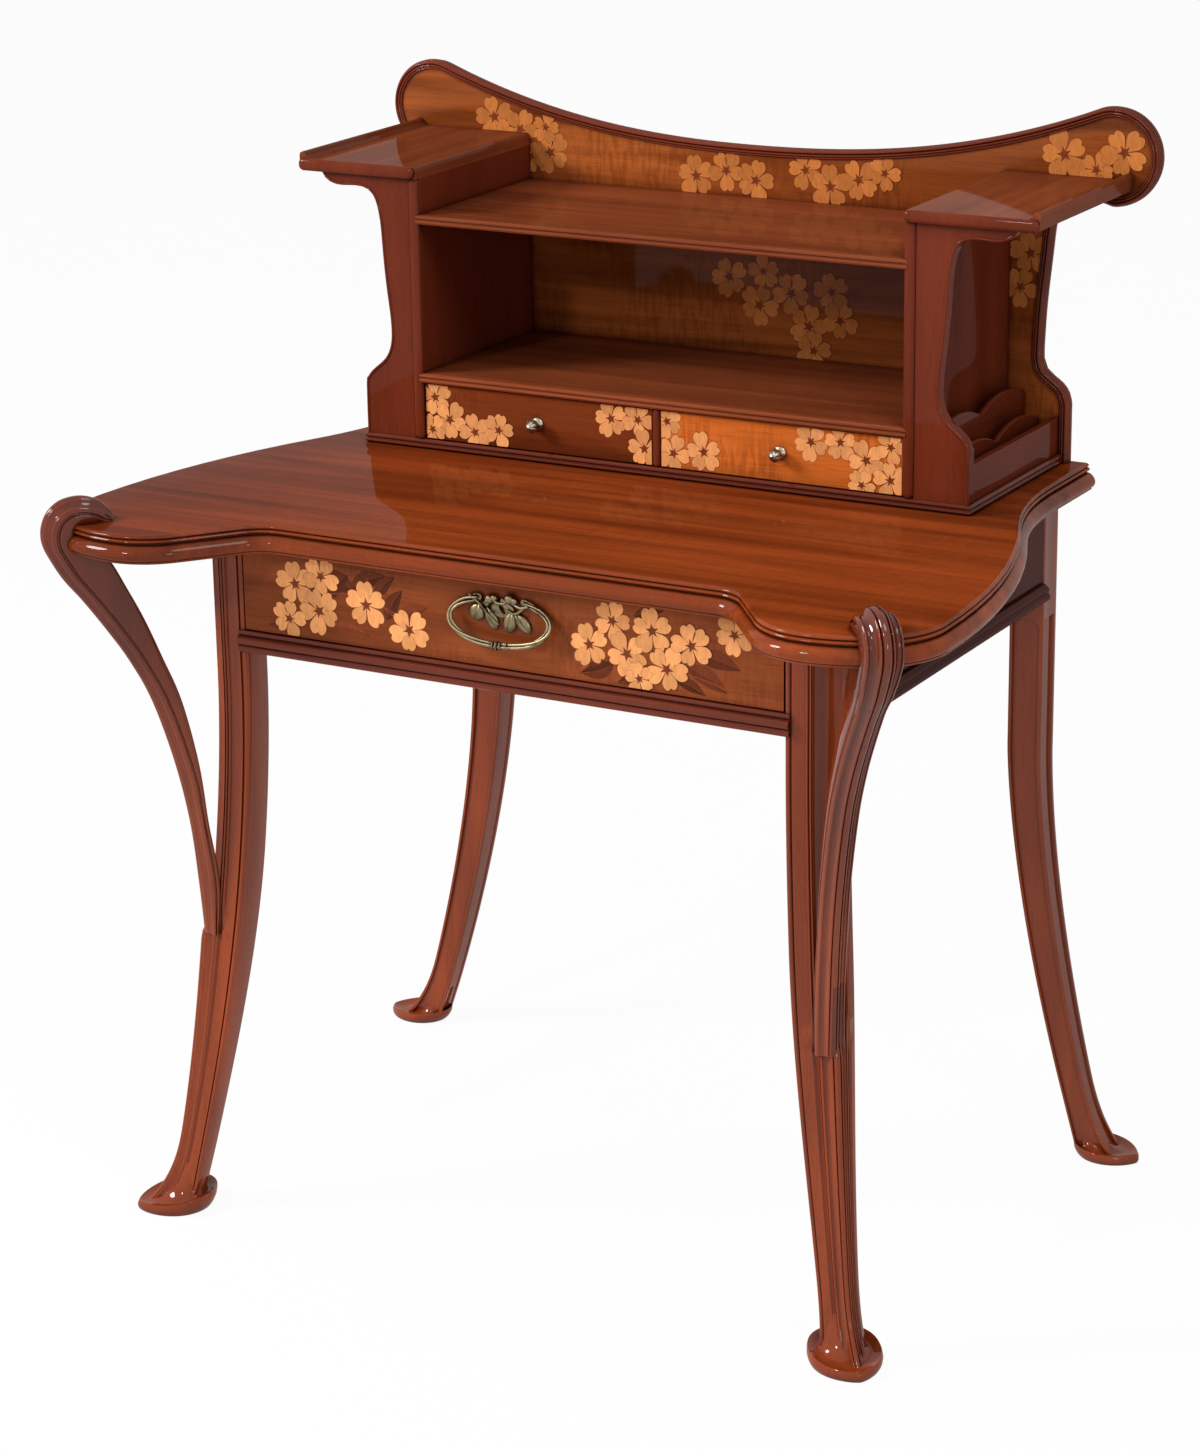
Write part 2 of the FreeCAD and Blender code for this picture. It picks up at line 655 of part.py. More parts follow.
def back_tenon():
    y0 = back_leg_y + TENON_THICKNESS / 2
    z0 = apron_bottom + TENON_SHOULDER
    x1 = back_leg_inner_x + TENON_LENGTH - TENON_THICKNESS / 2
    return box(back_leg_inner_x, x1, y0, y0 + TENON_THICKNESS, z0, top_under - TENON_SHOULDER)


def back_apron():
    y1 = back_apron_back_y
    board = box(-back_leg_inner_x, back_leg_inner_x, y1 - APRON_THICKNESS, y1, apron_bottom, top_under)
    return board.fuse([back_tenon(), mirrored(back_tenon())]).removeSplitter().Solids[0]


def front_rail_tenon():
    y0 = CARCASE_FRONT_Y + TENON_THICKNESS
    z0 = front_rail_bottom + TENON_THICKNESS / 2
    z1 = front_rail_top - TENON_THICKNESS / 2
    return box(leg_inner_x, leg_inner_x + TENON_LENGTH, y0, y0 + TENON_THICKNESS, z0, z1)


def front_rail():
    """Rail below the drawer with a moulding that laps over the faces of the legs."""
    half = leg_inner_x
    rail = box(-half, half, CARCASE_FRONT_Y, front_rail_back_y, front_rail_bottom, front_rail_top)
    lap = leg_inner_x + FRONT_RAIL_LAP
    rows = [(0.0, 0.0), (0.6, 0.0), (1.0, 0.12), (1.0, 0.4), (0.7, 0.5)]
    rows += [(0.8, 0.62), (0.7, 0.75), (0.3, 0.82), (0.35, 0.92), (0.0, 1.0)]
    points = []
    for out, up in rows:
        y = CARCASE_FRONT_Y - FRONT_RAIL_REACH * out
        points.append(Vector(-lap, y, front_rail_bottom + FRONT_RAIL_HEIGHT * up))
    moulding = prism(points, Vector(2 * lap, 0, 0))
    tenon = front_rail_tenon()
    return rail.fuse([moulding, tenon, mirrored(tenon)]).removeSplitter().Solids[0]


def top_rail():
    y0 = CARCASE_FRONT_Y + TOP_RAIL_SET_BACK
    z0 = top_rail_bottom
    return box(-leg_inner_x, leg_inner_x, y0, y0 + TOP_RAIL_DEPTH, z0, top_under)


def runner():
    """Bearer under the drawer's side and the guide strip on it, glued to the apron."""
    x0 = apron_inner_x - RUNNER_WIDTH
    bearer = box(x0, apron_inner_x, leg_back_y, back_leg_front_y, runner_top - RUNNER_THICKNESS, runner_top)
    x1 = side_outer_x + SLIDE_CLEARANCE
    guide = box(x1, apron_inner_x, leg_back_y, back_leg_front_y, runner_top, runner_top + GUIDE_HEIGHT)
    return Part.makeCompound([bearer, guide])


def kicker():
    x0 = apron_inner_x - KICKER_WIDTH
    y0 = CARCASE_FRONT_Y + TOP_RAIL_SET_BACK + TOP_RAIL_DEPTH
    return box(x0, apron_inner_x, y0, back_leg_front_y, top_under - KICKER_THICKNESS, top_under)


def glue_blocks():
    y1 = back_apron_front_y
    blocks = []
    for share in (-0.6, 0.0, 0.6):
        x = back_leg_inner_x * share - BLOCK_LENGTH / 2
        corner = [
            Vector(x, y1, top_under),
            Vector(x, y1 - BLOCK_SIZE, top_under),
            Vector(x, y1, top_under - BLOCK_SIZE),
        ]
        blocks.append(prism(corner, Vector(BLOCK_LENGTH, 0, 0)))
    return Part.makeCompound(blocks)


def drawer_bottom():
    x1 = side_inner_x + DRAWER_GROOVE
    z0 = side_bottom_z + DRAWER_BOTTOM_RISE
    y0 = drawer_inside_y - DRAWER_GROOVE
    return box(-x1, x1, y0, drawer_back_y, z0, z0 + DRAWER_BOTTOM_THICKNESS)


def stud_places():
    angle = math.radians(PULL_OPEN_ANGLE)
    x = PULL_HALF_WIDTH * math.cos(angle)
    z = pull_centre_z + PULL_HALF_HEIGHT * math.sin(angle)
    return [Vector(side * x, drawer_front_y, z) for side in (-1.0, 1.0)]


def drawer_front():
    board = box(
        -drawer_half_width, drawer_half_width, drawer_front_y, drawer_inside_y, drawer_bottom_z, drawer_top_z
    )
    lock = LOCK_HALF_WIDTH + LOCK_CLEARANCE
    pocket_z = drawer_top_z - LOCK_HEIGHT - LOCK_CLEARANCE
    pocket_y = lock_front_y - LOCK_CLEARANCE
    board = board.cut(box(-lock, lock, pocket_y, drawer_inside_y, pocket_z, drawer_top_z))
    for place in stud_places():
        hole = STUD_RADIUS + STUD_CLEARANCE
        board = board.cut(Part.makeCylinder(hole, DRAWER_FRONT_THICKNESS, place, Vector(0, 1, 0)))
    keyhole = Vector(0, drawer_front_y, pull_centre_z + PULL_HALF_HEIGHT / 2)
    board = board.cut(Part.makeCylinder(KEYHOLE_RADIUS, KEYHOLE_DEPTH, keyhole, Vector(0, 1, 0)))
    return largest(board.cut(drawer_bottom()))


def drawer_side():
    board = box(side_inner_x, side_outer_x, drawer_inside_y, drawer_back_y, side_bottom_z, side_top_z)
    return largest(board.cut(drawer_bottom()))


def drawer_back():
    z0 = side_bottom_z + DRAWER_BOTTOM_RISE + DRAWER_BOTTOM_THICKNESS
    y0 = drawer_back_y - DRAWER_SIDE_THICKNESS
    return box(-side_inner_x, side_inner_x, y0, drawer_back_y, z0, side_top_z - DRAWER_BACK_DROP)


def lock_case():
    case = box(
        -LOCK_HALF_WIDTH, LOCK_HALF_WIDTH, lock_front_y, lock_back_y, drawer_top_z - LOCK_HEIGHT, drawer_top_z
    )
    return largest(
        case.cut(
            box(
                -BOLT_HALF_WIDTH - BOLT_CLEARANCE,
                BOLT_HALF_WIDTH + BOLT_CLEARANCE,
                bolt_front_y - BOLT_CLEARANCE,
                bolt_front_y + BOLT_THICKNESS + BOLT_CLEARANCE,
                drawer_top_z - BOLT_LENGTH - BOLT_CLEARANCE,
                drawer_top_z,
            )
        )
    )


def lock_bolt():
    return box(
        -BOLT_HALF_WIDTH,
        BOLT_HALF_WIDTH,
        bolt_front_y,
        bolt_front_y + BOLT_THICKNESS,
        drawer_top_z - BOLT_LENGTH,
        drawer_top_z,
    )


def pull_loop():
    """Open oval of round bar, its foot standing off the drawer and its two ends on bosses."""
    start = 180.0 - PULL_OPEN_ANGLE
    sweep = 180.0 + 2.0 * PULL_OPEN_ANGLE
    end_height = math.sin(math.radians(PULL_OPEN_ANGLE))
    places = []
    for step in range(21):
        angle = math.radians(start + sweep * step / 20.0)
        lean = (end_height - math.sin(angle)) / (end_height + 1.0)
        stand = PULL_BAR_RADIUS + (PULL_STAND_OFF - PULL_BAR_RADIUS) * smoothstep(lean)
        x = PULL_HALF_WIDTH * math.cos(angle)
        places.append(Vector(x, drawer_front_y - stand, pull_centre_z + PULL_HALF_HEIGHT * math.sin(angle)))
    rings = []
    for index, place in enumerate(places):
        ahead = places[min(index + 1, len(places) - 1)] - places[max(index - 1, 0)]
        out = Vector(place.x, 0, (place.z - pull_centre_z)).normalize()
        out = (out - ahead * (out.dot(ahead) / ahead.dot(ahead))).normalize()
        up = ahead.cross(out).normalize()
        ring = []
        for side in range(PULL_BAR_SIDES):
            angle = 2.0 * math.pi * side / PULL_BAR_SIDES
            ring.append(place + (out * math.cos(angle) + up * math.sin(angle)) * PULL_BAR_RADIUS)
        rings.append(ring)
    bar = skin(rings)
    bosses = []
    for place in stud_places():
        rows = [(0.0, PULL_BOSS_RADIUS), (2 * PULL_BAR_RADIUS, PULL_BOSS_RADIUS)]
        bosses.append(turned(place, rows, PULL_BAR_SIDES))
    return largest(bar.fuse(bosses).common(ahead_of_drawer()))


def ahead_of_drawer():
    reach = PULL_STAND_OFF + 2 * PULL_BAR_RADIUS
    wide = PULL_HALF_WIDTH + 2 * PULL_BAR_RADIUS
    return box(-wide, wide, drawer_front_y - reach, drawer_front_y, drawer_bottom_z, top_under)


def pull_studs():
    studs = []
    for place in stud_places():
        shank = Part.makeCylinder(STUD_RADIUS, DRAWER_FRONT_THICKNESS, place, Vector(0, 1, 0))
        seat = place + Vector(0, DRAWER_FRONT_THICKNESS, 0)
        nut = turned(seat, [(-NUT_THICKNESS, NUT_RADIUS), (0.0, NUT_RADIUS)], 6)
        studs.append(shank.fuse(nut).Solids[0])
    return Part.makeCompound(studs)


def pull_spray():
    """Escutcheon between the ends of the loop: leaves and buds round the keyhole."""
    rise = PULL_HALF_HEIGHT / 2
    leaves = (
        (-24.0, 1.0, 8.5, 7.0),
        (-8.0, -1.0, 7.0, 11.0),
        (6.0, -4.0, 7.0, 8.0),
        (23.0, -7.0, 8.0, 7.0),
        (-10.0, 17.0, 6.0, 5.0),
        (8.0, 17.0, 6.5, 5.5),
        (0.0, rise, 13.0, 9.0),
        (-15.0, 6.0, 9.0, 4.0),
        (15.0, 3.0, 9.0, 5.5),
    )
    back = Vector(0, drawer_front_y, pull_centre_z)
    pieces = []
    for x, z, half_x, half_z in leaves:
        outline = []
        for step in range(10):
            angle = math.radians(36.0 * step)
            outline.append(back + Vector(x + half_x * math.cos(angle), 0, z + half_z * math.sin(angle)))
        pieces.append(prism(outline, Vector(0, -SPRAY_THICKNESS, 0)))
    plate_solid = pieces[0].fuse(pieces[1:])
    keyhole_at = back + Vector(0, -SPRAY_THICKNESS, rise)
    keyhole = Part.makeCylinder(KEYHOLE_RADIUS, SPRAY_THICKNESS, keyhole_at, Vector(0, 1, 0))
    return largest(plate_solid.cut([keyhole, pull_loop()]))


def plinth():
    """Board under the superstructure with two reeds round its front and sides."""
    half = rack_half_width + PLINTH_MARGIN
    wires = []
    for step in range(9):
        z = TOP_HEIGHT + PLINTH_HEIGHT * step / 8.0
        reach = PLINTH_REED * abs(math.sin(math.pi * step / 4.0))
        wires.append(
            polygon(
                [
                    Vector(-half - reach, upper_front_y - reach, z),
                    Vector(half + reach, upper_front_y - reach, z),
                    Vector(half + reach, panel_front_y, z),
                    Vector(-half - reach, panel_front_y, z),
                ]
            )
        )
    return Part.makeLoft(wires, True, True)


def side_panel():
    """Inner upright; its front edge shows as a bead beside the front board."""
    bead = UPRIGHT_THICKNESS / 2
    middle = INNER_HALF_WIDTH + bead
    arc = Part.Arc(
        Vector(INNER_HALF_WIDTH, upper_front_y + bead, plinth_top),
        Vector(middle, upper_front_y, plinth_top),
        Vector(upright_outer_x, upper_front_y + bead, plinth_top),
    ).toShape()
    corners = [
        Vector(upright_outer_x, upper_front_y + bead, plinth_top),
        Vector(upright_outer_x, panel_front_y, plinth_top),
        Vector(INNER_HALF_WIDTH, panel_front_y, plinth_top),
        Vector(INNER_HALF_WIDTH, upper_front_y + bead, plinth_top),
    ]
    edges = [arc] + [line(a, b) for a, b in zip(corners, corners[1:])]
    return Part.Face(Part.Wire(edges)).extrude(Vector(0, 0, platform_under - plinth_top))


def front_board():
    """Shaped board in front of the letter rack: foot, waist and bracket under the platform."""
    y = upper_front_y
    foot = rack_half_width
    shoulder = plinth_top + FRONT_BOARD_SHOULDER
    bracket = platform_under
    ogee = [(0.0, 0.0), (3.0, 9.0), (11.0, 17.5), (25.0, 30.0), (31.0, 43.0)]
    corbel = [(20.5, 34.0), (12.0, 17.0), (-1.0, 12.5), (-26.0, 13.0), (-39.0, 9.0), (-46.5, 0.0)]
    outline = [Vector(foot - inward, y, shoulder + rise) for inward, rise in ogee]
    waist_low = outline[-1].z
    waist_height = bracket - corbel[0][1] - waist_low
    for inward, share in ((32.5, 0.12), (29.0, 0.376), (24.5, 0.745)):
        outline.append(Vector(foot - inward, y, waist_low + waist_height * share))
    outline += [Vector(foot - inward, y, bracket - drop) for inward, drop in corbel]
    inner = [
        outline[-1],
        Vector(upright_outer_x, y, bracket),
        Vector(upright_outer_x, y, plinth_top),
        Vector(foot, y, plinth_top),
        outline[0],
    ]
    edges = chords(spline(outline), 36) + [line(a, b) for a, b in zip(inner, inner[1:])]
    return plate(edges, FRONT_BOARD_THICKNESS)


def panel_outline(inset, y):
    """Outline of the back panel: feet, waists, round lobes and a hollow top edge."""
    foot = panel_half_width - inset
    low = TOP_HEIGHT + PANEL_SHOULDER
    radius = LOBE_END_RADIUS - inset
    lobe = Vector(lobe_centre_x, y, lobe_centre_z)
    neck = lobe.z - LOBE_END_RADIUS
    ogee = [(0.0, 0.0), (1.5, 8.0), (6.0, 16.0), (15.0, 24.0), (25.0, 31.0), (30.0, 40.0)]
    waist = [Vector(foot - inward, y, low + rise) for inward, rise in ogee]
    waist_low = waist[-1].z
    waist_height = neck - 39.0 - waist_low
    for inward, share in ((31.0, 0.12), (29.0, 0.437), (22.0, 1.0)):
        waist.append(Vector(foot - inward, y, waist_low + waist_height * share))
    waist += [
        Vector(foot - 15.0, y, neck - 12.0 + inset * 0.5),
        Vector(foot - 2.0 + inset * 0.8, y, neck - 2.0 + inset),
        Vector(lobe.x, y, lobe.z - radius),
    ]
    turn = math.radians(108.0)
    top = lobe + Vector(radius * math.cos(turn), 0, radius * math.sin(turn))
    round_end = Part.Arc(waist[-1], lobe + Vector(radius, 0, 0), top)
    trough = TOP_HEIGHT + PANEL_TROUGH_RISE - inset
    rise = top.z - trough
    hollow = []
    for share in (1.0, 0.83, 0.66, 0.5, 0.33, 0.16, 0.0):
        lift = rise * (0.42 * share ** 2 + 0.58 * share ** 2.6)
        hollow.append(Vector(top.x * share, y, trough + lift))
    edge = [line(Vector(foot, y, TOP_HEIGHT), waist[0])] + chords(spline(waist), 24) + chords(round_end, 22)
    left = [mirrored(piece) for piece in edge]
    full = hollow + [Vector(-place.x, y, place.z) for place in hollow[-2::-1]]
    base = line(Vector(-foot, y, TOP_HEIGHT), Vector(foot, y, TOP_HEIGHT))
    return Part.Wire(Part.__sortEdges__(edge + chords(spline(full), 48) + left + [base]))


def back_panel():
    """Panel with its field sunk inside a raised border, plain where the plinth meets it."""
    proud_y = panel_front_y - PANEL_BORDER_PROUD
    thickness = PANEL_THICKNESS + PANEL_BORDER_PROUD
    board = Part.Face(panel_outline(0.0, proud_y)).extrude(Vector(0, thickness, 0))
    field = Part.Face(panel_outline(PANEL_BORDER, proud_y)).extrude(Vector(0, PANEL_BORDER_PROUD, 0))
    foot = box(
        -panel_half_width, panel_half_width, proud_y, panel_front_y, TOP_HEIGHT, plinth_top + SMALL_GAP
    )
    return largest(board.cut([field, foot]))


def shelf(top_z):
    """Shelf between the uprights; its rounded front laps a little over their beads."""
    z0 = top_z - SHELF_THICKNESS
    board = box(-INNER_HALF_WIDTH, INNER_HALF_WIDTH, upper_front_y, panel_front_y, z0, top_z)
    lap = INNER_HALF_WIDTH + SHELF_LAP
    quarter = SHELF_THICKNESS / 4
    rows = [(0.0, 0.0), (0.7, 0.3), (1.0, 1.0), (0.8, 1.7), (0.3, 2.1), (0.8, 2.5), (0.7, 3.4), (0.0, 4.0)]
    points = [Vector(-lap, upper_front_y - SHELF_NOSE * out, z0 + quarter * up) for out, up in rows]
    nose = prism(points, Vector(2 * lap, 0, 0))
    return board.fuse(nose).removeSplitter().Solids[0]


def drawer_divider():
    half = DIVIDER_THICKNESS / 2
    return box(-half, half, small_front_y, panel_front_y, plinth_top, lower_shelf_top - SHELF_THICKNESS)


def platform():
    """Board on the uprights with a rolled lip on its outer edge, drawn in XZ."""
    y0 = upper_front_y - PLATFORM_FRONT_REACH + PLATFORM_THICKNESS / 4
    outer = platform_outer_x
    lip = platform_top + PLATFORM_LIP
    rows = [
        (INNER_HALF_WIDTH, platform_under),
        (outer - 4.0, platform_under),
        (outer - 1.0, platform_under + 1.5),
        (outer, platform_under + 5.0),
        (outer, lip - 3.0),
        (outer - 1.3, lip - 0.8),
        (outer - 3.5, lip),
        (outer - 5.8, lip - 1.0),
        (outer - 8.0, platform_top + 2.2),
        (outer - 12.0, platform_top),
        (INNER_HALF_WIDTH + PLATFORM_CORNER, platform_top),
        (INNER_HALF_WIDTH + PLATFORM_CORNER * 0.3, platform_top - PLATFORM_CORNER * 0.3),
        (INNER_HALF_WIDTH, platform_top - PLATFORM_CORNER),
    ]
    board = prism([Vector(x, y0, z) for x, z in rows], Vector(0, panel_front_y - y0, 0))
    reed = PLATFORM_THICKNESS / 4
    reeds = []
    for height in (reed, 3 * reed):
        start = Vector(INNER_HALF_WIDTH + PLATFORM_CORNER, y0, platform_under + height)
        length = outer - PLATFORM_CORNER - start.x
        reeds.append(Part.makeCylinder(reed, length, start, Vector(1, 0, 0)))
    return largest(board.fuse(reeds))


def rack_side():
    rack_side_top = TOP_HEIGHT + RACK_SIDE_RISE
    return box(rack_side_inner_x, rack_side_outer_x, rack_front_y, panel_front_y, plinth_top, rack_side_top)


def rack_divider(index):
    """Letter divider with two scallops, set at a third or two thirds of the rack."""
    room = rack_side_inner_x - upright_outer_x
    x = upright_outer_x + room * (index + 1) / 3.0 - RACK_DIVIDER_THICKNESS / 2
    peak = TOP_HEIGHT + RACK_PEAK_RISES[index]
    dip = peak - SCALLOP_DEPTH
    length = panel_front_y - rack_front_y
    places = [Vector(x, rack_front_y + length * share, 0) for share in (0.0, 0.25, 0.5, 0.75, 1.0)]
    tops = [place + Vector(0, 0, height) for place, height in zip(places, (dip, peak, dip, peak, dip))]
    low = Vector(0, 0, plinth_top)
    edges = [
        Part.Arc(tops[0], tops[1], tops[2]).toShape(),
        Part.Arc(tops[2], tops[3], tops[4]).toShape(),
        line(tops[4], places[4] + low),
        line(places[4] + low, places[0] + low),
        line(places[0] + low, tops[0]),
    ]
    return Part.Face(Part.Wire(edges)).extrude(Vector(RACK_DIVIDER_THICKNESS, 0, 0))


def small_drawer():
    """Right small drawer: front, outer and inner side, back, bottom and knob."""
    x0 = DIVIDER_THICKNESS / 2 + SMALL_GAP
    x1 = INNER_HALF_WIDTH - SMALL_GAP
    side_top = small_top_z - SMALL_SIDE_DROP
    in0 = x0 + SLIDE_CLEARANCE + SMALL_SIDE_THICKNESS
    in1 = x1 - SLIDE_CLEARANCE - SMALL_SIDE_THICKNESS
    z0 = small_bottom_z + SMALL_BOTTOM_RISE
    bottom = box(
        in0 - SMALL_GROOVE,
        in1 + SMALL_GROOVE,
        small_inside_y - SMALL_GROOVE,
        small_back_y,
        z0,
        z0 + SMALL_BOTTOM_THICKNESS,
    )
    knob_at = Vector(
        (x0 + x1) / 2, small_front_y, small_bottom_z + (small_top_z - small_bottom_z) * KNOB_HEIGHT_SHARE
    )
    spindle = Part.makeCylinder(KNOB_SPINDLE_RADIUS, SMALL_FRONT_THICKNESS, knob_at, Vector(0, 1, 0))
    front = box(x0, x1, small_front_y, small_inside_y, small_bottom_z, small_top_z)
    outer = box(in1, in1 + SMALL_SIDE_THICKNESS, small_inside_y, small_back_y, small_bottom_z, side_top)
    inner = box(in0 - SMALL_SIDE_THICKNESS, in0, small_inside_y, small_back_y, small_bottom_z, side_top)
    z1 = z0 + SMALL_BOTTOM_THICKNESS
    back = box(in0, in1, small_back_y - SMALL_SIDE_THICKNESS, small_back_y, z1, side_top)
    return {
        "front": largest(front.cut([bottom, spindle])),
        "side_outer": largest(outer.cut(bottom)),
        "side_inner": largest(inner.cut(bottom)),
        "back": back,
        "bottom": bottom,
        "knob": knob(knob_at, spindle),
    }


def turned(place, rows, sides, flute=0.0):
    """Turned form ahead of a place: rows of distance and radius, every other side sunk by a flute."""
    rings = []
    for ahead, radius in rows:
        ring = []
        for side in range(sides):
            angle = 2.0 * math.pi * side / sides
            reach = radius * (1.0 - flute * (side % 2))
            ring.append(place + Vector(reach * math.cos(angle), -ahead, reach * math.sin(angle)))
        rings.append(ring)
    return skin(rings)


def knob(place, spindle):
    """Bud-shaped knob with lobes, on its spindle."""
    rows = [
        (0.0, 0.95), (0.08, 0.95), (0.14, 0.55), (0.24, 0.5), (0.33, 0.8), (0.5, 1.0),
        (0.66, 0.95), (0.82, 0.7), (0.93, 0.36), (1.0, 0.1),
    ]
    rows = [(KNOB_LENGTH * ahead, KNOB_RADIUS * out) for ahead, out in rows]
    return largest(turned(place, rows, KNOB_SIDES, KNOB_FLUTE).fuse(spindle))


def export(name, shape):
    shape.exportStep("parts/%s.step" % name)


def export_pair(name, shape):
    export(name + "_right", shape)
    export(name + "_left", mirrored(shape))


def main():
    os.makedirs("parts", exist_ok=True)
    top = top_board()
    bracket = branch(top)
    apron_tenons = side_tenons()
    export("top_board", top)
    export_pair("branch", bracket)
    export_pair("front_leg", largest(front_leg().cut([bracket, apron_tenons[0], front_rail_tenon()])))
    export_pair("back_leg", largest(back_leg().cut([apron_tenons[1], back_tenon()])))
    export_pair("side_apron", side_apron())
    export_pair("side_moulding", side_moulding())
    export("back_apron", back_apron())
    export("front_rail", front_rail())
    export("top_rail", top_rail())
    export_pair("runner", runner())
    export_pair("kicker", kicker())
    export("glue_blocks", glue_blocks())

    export("drawer_front", drawer_front())
    export_pair("drawer_side", drawer_side())
    export("drawer_back", drawer_back())
    export("drawer_bottom", drawer_bottom())
    export("pull_loop", pull_loop())
    export("pull_spray", pull_spray())
    export("pull_studs", pull_studs())
    export("lock_case", lock_case())
    export("lock_bolt", lock_bolt())

    export("plinth", plinth())
    export_pair("side_panel", side_panel())
    export_pair("front_board", front_board())
    export("back_panel", back_panel())
    export("lower_shelf", shelf(lower_shelf_top))
    export("upper_shelf", shelf(upper_shelf_top))
    export("drawer_divider", drawer_divider())
    export_pair("platform", platform())
    export_pair("rack_side", rack_side())
    export_pair("rack_divider_inner", rack_divider(0))
    export_pair("rack_divider_outer", rack_divider(1))
    for piece, shape in small_drawer().items():
        export_pair("small_drawer_" + piece, shape)


main()
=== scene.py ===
import math

import bmesh
import bpy
from bpy.props import FloatProperty, FloatVectorProperty, IntProperty, PointerProperty
from mathutils import Matrix, Vector


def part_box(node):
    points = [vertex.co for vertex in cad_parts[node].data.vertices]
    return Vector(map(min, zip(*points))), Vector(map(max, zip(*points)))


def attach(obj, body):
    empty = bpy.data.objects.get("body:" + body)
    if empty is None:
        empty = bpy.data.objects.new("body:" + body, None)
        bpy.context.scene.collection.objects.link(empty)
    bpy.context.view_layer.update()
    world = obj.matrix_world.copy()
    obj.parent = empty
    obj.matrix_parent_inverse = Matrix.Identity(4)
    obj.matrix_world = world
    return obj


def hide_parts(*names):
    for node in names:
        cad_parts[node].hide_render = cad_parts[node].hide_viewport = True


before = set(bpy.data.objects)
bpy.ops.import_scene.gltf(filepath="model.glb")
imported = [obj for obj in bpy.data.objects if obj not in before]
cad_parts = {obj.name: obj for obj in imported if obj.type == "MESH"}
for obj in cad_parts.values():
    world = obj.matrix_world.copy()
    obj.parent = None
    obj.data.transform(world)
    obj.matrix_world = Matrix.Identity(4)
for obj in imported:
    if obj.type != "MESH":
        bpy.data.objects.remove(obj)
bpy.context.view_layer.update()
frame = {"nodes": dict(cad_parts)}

bl_info = {
    "name": "Ladies' writing desk",
    "version": (1, 0, 0),
    "blender": (4, 5, 0),
    "location": "View3D > Sidebar > Desk",
    "description": "Dresses the desk's frame with carved legs, veneers, inlay and bronze",
    "category": "Object",
}

# Sizes are in metres, in the frame's own axes: X right, Y back, Z up.
MM = 0.001
SIDES = (("right", 1.0), ("left", -1.0))
DIAGONAL = math.sqrt(0.5)
FORWARD = Vector((0.0, -1.0, 0.0))
UP = Vector((0.0, 0.0, 1.0))

# Camera of the photograph, whose frame is 1200 by 1451 pixels
CAMERA_PLACE = Vector((1.7761, -3.1873, 1.7014))
CAMERA_TURN = math.radians(29.353)
CAMERA_TILT = math.radians(18.211)
CAMERA_ROLL = math.radians(-0.88)
CAMERA_LENS = 95.37
CAMERA_SENSOR = 36.0

# Stage: soft round lamps with their place, diameter and watts, aimed at the desk's middle
LAMPS = (
    ("key", (-2.8, -1.8, 2.6), 1.1, 122.0),
    ("front", (-1.1, -3.9, 2.8), 0.5, 36.0),
    ("fill", (2.9, -2.6, 1.5), 0.7, 15.0),
    ("top", (1.1, -0.6, 2.3), 0.8, 11.0),
)
LAMP_TARGET = Vector((0.0, 0.0, 0.6))
WORLD_LIGHT = 0.38
FLOOR_REACH = 14.0
FLOOR_GLOW = 0.95            # share of plain white in what is seen of the floor

# Front edge and corners of the top, in millimetres: lengths with no turn, or radii with a turn in degrees
TOP_OUTLINE = ((45.0, -51.5), (65.0, 0.0), (70.0, 51.5), (130.0, 25.0), (77.0, 65.0))
TOP_CORNER_SET_IN = 84.5
TOP_FRONT_OVERHANG = 17.5
TOP_WAIST_MARGIN = 19.5
TOP_SIDE_SWEEP = 480.0
TOP_SIDE_SHARE = 0.67
# Moulded edge of the top: height above its underside and reach past the outline, in millimetres
TOP_EDGE = (
    (0.0, 2.4), (0.4, 4.0), (1.5, 5.2), (2.6, 5.4), (3.1, 5.0), (3.6, 6.2), (5.0, 7.7), (7.0, 8.7),
    (9.0, 9.0), (11.0, 8.8), (13.0, 8.0), (15.0, 6.6), (16.6, 4.9), (17.7, 3.2), (18.3, 1.2), (18.6, -0.6),
    (19.2, -0.7), (19.7, 1.2), (20.6, 2.4), (21.8, 2.8), (22.9, 2.3), (23.5, 1.2), (23.9, -0.4), (24.4, 0.9),
    (25.2, 1.6), (26.3, 1.6), (27.2, 0.8), (27.8, -0.3), (28.0, -1.6),
)
# Mortise in the underside of the top, which the lock's bolt enters
MORTISE_GAP = 0.3 * MM
MORTISE_DEPTH = 8.0 * MM

# Front legs
FRONT_WIDTH = 50.0 * MM
FRONT_DEPTH = 38.0 * MM
FRONT_ANKLE = 0.62
FRONT_KNEE = 565.0 * MM
FRONT_FLARE = 79.0 * MM
FRONT_POWER = 1.82
FRONT_TAPER_TOP = 390.0 * MM
CORNER_WIDTH = 22.0 * MM     # hollow corner above the branch, reeded corner below it
CORNER_CROWN = 13.0 * MM
CORNER_CHANGE = (290.0 * MM, 335.0 * MM)
# Fine sizes of a front leg's section, in millimetres
LEG_ARRIS = 2.0
SIDE_BAND = 7.0              # width of the reeds, or of the flute, beside the corner
SIDE_REED = 2.0
SIDE_FLUTE = 2.6
INNER_BEAD = ((0.0, 3.2), (0.7, 1.2), (2.2, 0.1), (3.8, 0.1), (5.2, 0.9), (6.0, 2.4), (6.6, 2.6), (7.3, 0.7))

